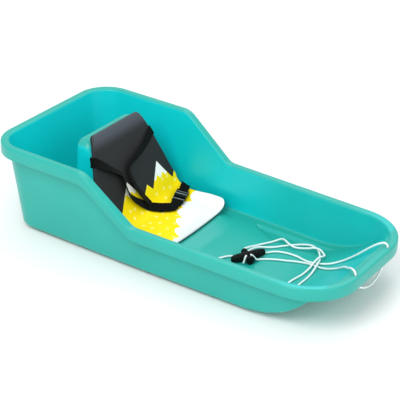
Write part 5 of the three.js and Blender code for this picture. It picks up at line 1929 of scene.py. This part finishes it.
# Half of the handle's bar: height as a share of the half height, place as a share of the
# half length
HANDLE_SIDE_SHARES = (
    (0.97, 0.0),
    (1.0, 0.32),
    (0.96, 0.65),
    (0.83, 0.87),
    (0.69, 0.975),
    (0.52, 1.0),
)
HANDLE_ROUNDING = 1.6
HANDLE_ROUNDING_STEPS = 5
STEM_FOOT_BEVEL = 1.5
STEM_FOOT_EDGE = 4.5
STEM_FOOT_ROUNDING = 1.2
DOME_STEPS = 10
HANDLE_CREASE = 40.0


def handle_bar():
    side = [(HANDLE_HALF_HEIGHT * high, HANDLE_HALF_LENGTH * far) for high, far in HANDLE_SIDE_SHARES]
    side.append((AXIS_RADIUS, HANDLE_HALF_LENGTH))
    outline = [(radius, -along) for radius, along in reversed(side)] + side[1:]
    points, faces = turned_mesh(rounded(outline, HANDLE_ROUNDING, HANDLE_ROUNDING_STEPS))
    for point in points:
        point.y *= HANDLE_THICKNESS_SHARE
    return points, faces


def handle_foot():
    foot = [
        (AXIS_RADIUS, -STEM_FOOT_LENGTH),
        (STEM_FOOT_RADIUS - STEM_FOOT_BEVEL, -STEM_FOOT_LENGTH),
        (STEM_FOOT_RADIUS, STEM_FOOT_BEVEL - STEM_FOOT_LENGTH),
        (STEM_FOOT_RADIUS, STEM_FOOT_EDGE - STEM_FOOT_LENGTH),
        (STEM_NECK_RADIUS, -STEM_NECK_LENGTH),
        (STEM_NECK_RADIUS, 0.0),
        (AXIS_RADIUS, 0.0),
    ]
    return rounded(foot, STEM_FOOT_ROUNDING, HANDLE_ROUNDING_STEPS)


def handle_knob():
    knob = [(AXIS_RADIUS, 0.0), (KNOB_RADIUS, 0.0)]
    for turn in spread(0.0, math.pi / 2, DOME_STEPS)[:-1]:
        level = KNOB_LENGTH - KNOB_RADIUS * (1 - math.sin(turn))
        knob.append((KNOB_RADIUS * math.cos(turn), level))
    return knob + [(AXIS_RADIUS, KNOB_LENGTH)]


def make_handle():
    """Pull handle: an oval bar, a foot flaring from its neck, and a domed knob behind."""
    bar = closed_object("toggle_handle", handle_bar())
    joined = []
    for title, shape, pitch in (("foot", handle_foot(), 0.0), ("knob", handle_knob(), KNOB_PITCH)):
        points, faces = turned_mesh(shape)
        lean = Matrix.Rotation(pitch, 3, "X")
        points = [lean @ Vector((-point.y, point.x, point.z)) for point in points]
        points = [point + Vector((STEM_OFFSET, 0.0, 0.0)) for point in points]
        joined.append(("UNION", closed_object(title, (points, faces))))
    handle = combine(bar, joined)
    at = place(HANDLE_STATION, HANDLE_ACROSS, FLOOR_HEIGHT + HANDLE_HALF_HEIGHT + TOUCH_GAP)
    turned = Matrix.Rotation(HANDLE_YAW, 4, "Z")
    handle.data.transform(Matrix.Translation(at * MILLIMETRE) @ turned)
    finish_solid(handle, BLACK, HANDLE_CREASE, "pull_handle")


make_handle()

# The buckle keeps the frame's solids, with rounded edges. Its light lines are drawn in the
# material and not in the shape: middle along the buckle, half width, level, strength
BUCKLE_GLINTS = ((12.0, 1.0, 4.0, 0.45), (4.6, 0.9, 4.0, 0.85), (-11.6, 0.8, 2.1, 0.75))
GLINT_LEVEL_BLEND = 0.3
BUCKLE_EDGE = 0.0004
BUCKLE_ROUGHNESS = 0.36


def drawn_glints(nodes, place_of):
    scaled = nodes.vector("SCALE", place_of, scale=1 / MILLIMETRE)
    away = nodes.vector("SUBTRACT", scaled, tuple(BUCKLE_PLACE))
    along = nodes.vector("DOT_PRODUCT", away, tuple(BUCKLE_TURN @ Vector((1.0, 0.0, 0.0))))
    level = nodes.vector("DOT_PRODUCT", away, tuple(BUCKLE_TURN @ Vector((0.0, 0.0, 1.0))))
    lines = None
    for middle, half_width, top, strength in BUCKLE_GLINTS:
        off = nodes.maths("ABSOLUTE", nodes.maths("SUBTRACT", along, middle))
        line = nodes.ramp(off, half_width, half_width / 2, 0.0, strength)
        line = nodes.maths("MULTIPLY", line, nodes.ramp(level, top - GLINT_LEVEL_BLEND, top))
        lines = line if lines is None else nodes.maths("MAXIMUM", lines, line)
    return lines


BUCKLE_BLACK = black_plastic("buckle_black", BUCKLE_ROUGHNESS, drawn_glints)
for title in ("buckle_housing", "buckle_insert", "prong_near", "prong_far"):
    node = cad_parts[title]
    node.data.materials.clear()
    node.data.materials.append(BUCKLE_BLACK)
    bevel = node.modifiers.new("edge", "BEVEL")
    bevel.width = BUCKLE_EDGE
    bevel.segments = 2
    bevel.limit_method = "ANGLE"

# Stage and light
STAGE_COLOUR = (0.93, 0.93, 0.93, 1.0)
STAGE_REACH = 6.0
LIGHT_TARGET = Vector((0.0, 0.0, 0.1))
BACK_LIGHT_COLOUR = (0.82, 0.94, 1.0)
SURROUND_STRENGTH = 0.75


def make_stage():
    mesh = bpy.data.meshes.new("floor")
    signs = ((-1, -1), (1, -1), (1, 1), (-1, 1))
    mesh.from_pydata([(STAGE_REACH * x, STAGE_REACH * y, 0.0) for x, y in signs], [], [(0, 1, 2, 3)])
    floor = bpy.data.objects.new("floor", mesh)
    bpy.context.scene.collection.objects.link(floor)
    material = bpy.data.materials.new("pale_floor")
    material.use_nodes = True
    shader = material.node_tree.nodes["Principled BSDF"]
    shader.inputs["Base Color"].default_value = STAGE_COLOUR
    shader.inputs["Roughness"].default_value = 0.9
    shader.inputs["Specular IOR Level"].default_value = 0.1
    mesh.materials.append(material)


def make_light(name, azimuth, elevation, distance, size, power, colour=(1.0, 1.0, 1.0)):
    data = bpy.data.lights.new(name, "AREA")
    data.shape = "DISK"
    data.size = size
    data.energy = power
    data.color = colour
    light = bpy.data.objects.new(name, data)
    bpy.context.scene.collection.objects.link(light)
    turn, rise = math.radians(azimuth), math.radians(elevation)
    way = Vector(
        (math.sin(turn) * math.cos(rise), -math.cos(turn) * math.cos(rise), math.sin(rise))
    )
    light.location = LIGHT_TARGET + way * distance
    light.rotation_euler = way.to_track_quat("Z", "Y").to_euler()


make_stage()
make_light("key", azimuth=5, elevation=48, distance=2.2, size=1.4, power=26)
make_light("fill", azimuth=75, elevation=30, distance=2.6, size=1.8, power=13)
make_light("back", 200, 55, distance=2.4, size=1.6, power=16, colour=BACK_LIGHT_COLOUR)
world = bpy.data.worlds.new("studio")
bpy.context.scene.world = world
world.use_nodes = True
surround = world.node_tree.nodes["Background"].inputs
surround["Color"].default_value = (1.0, 1.0, 1.0, 1.0)
surround["Strength"].default_value = SURROUND_STRENGTH
bpy.context.scene.view_settings.view_transform = "Standard"
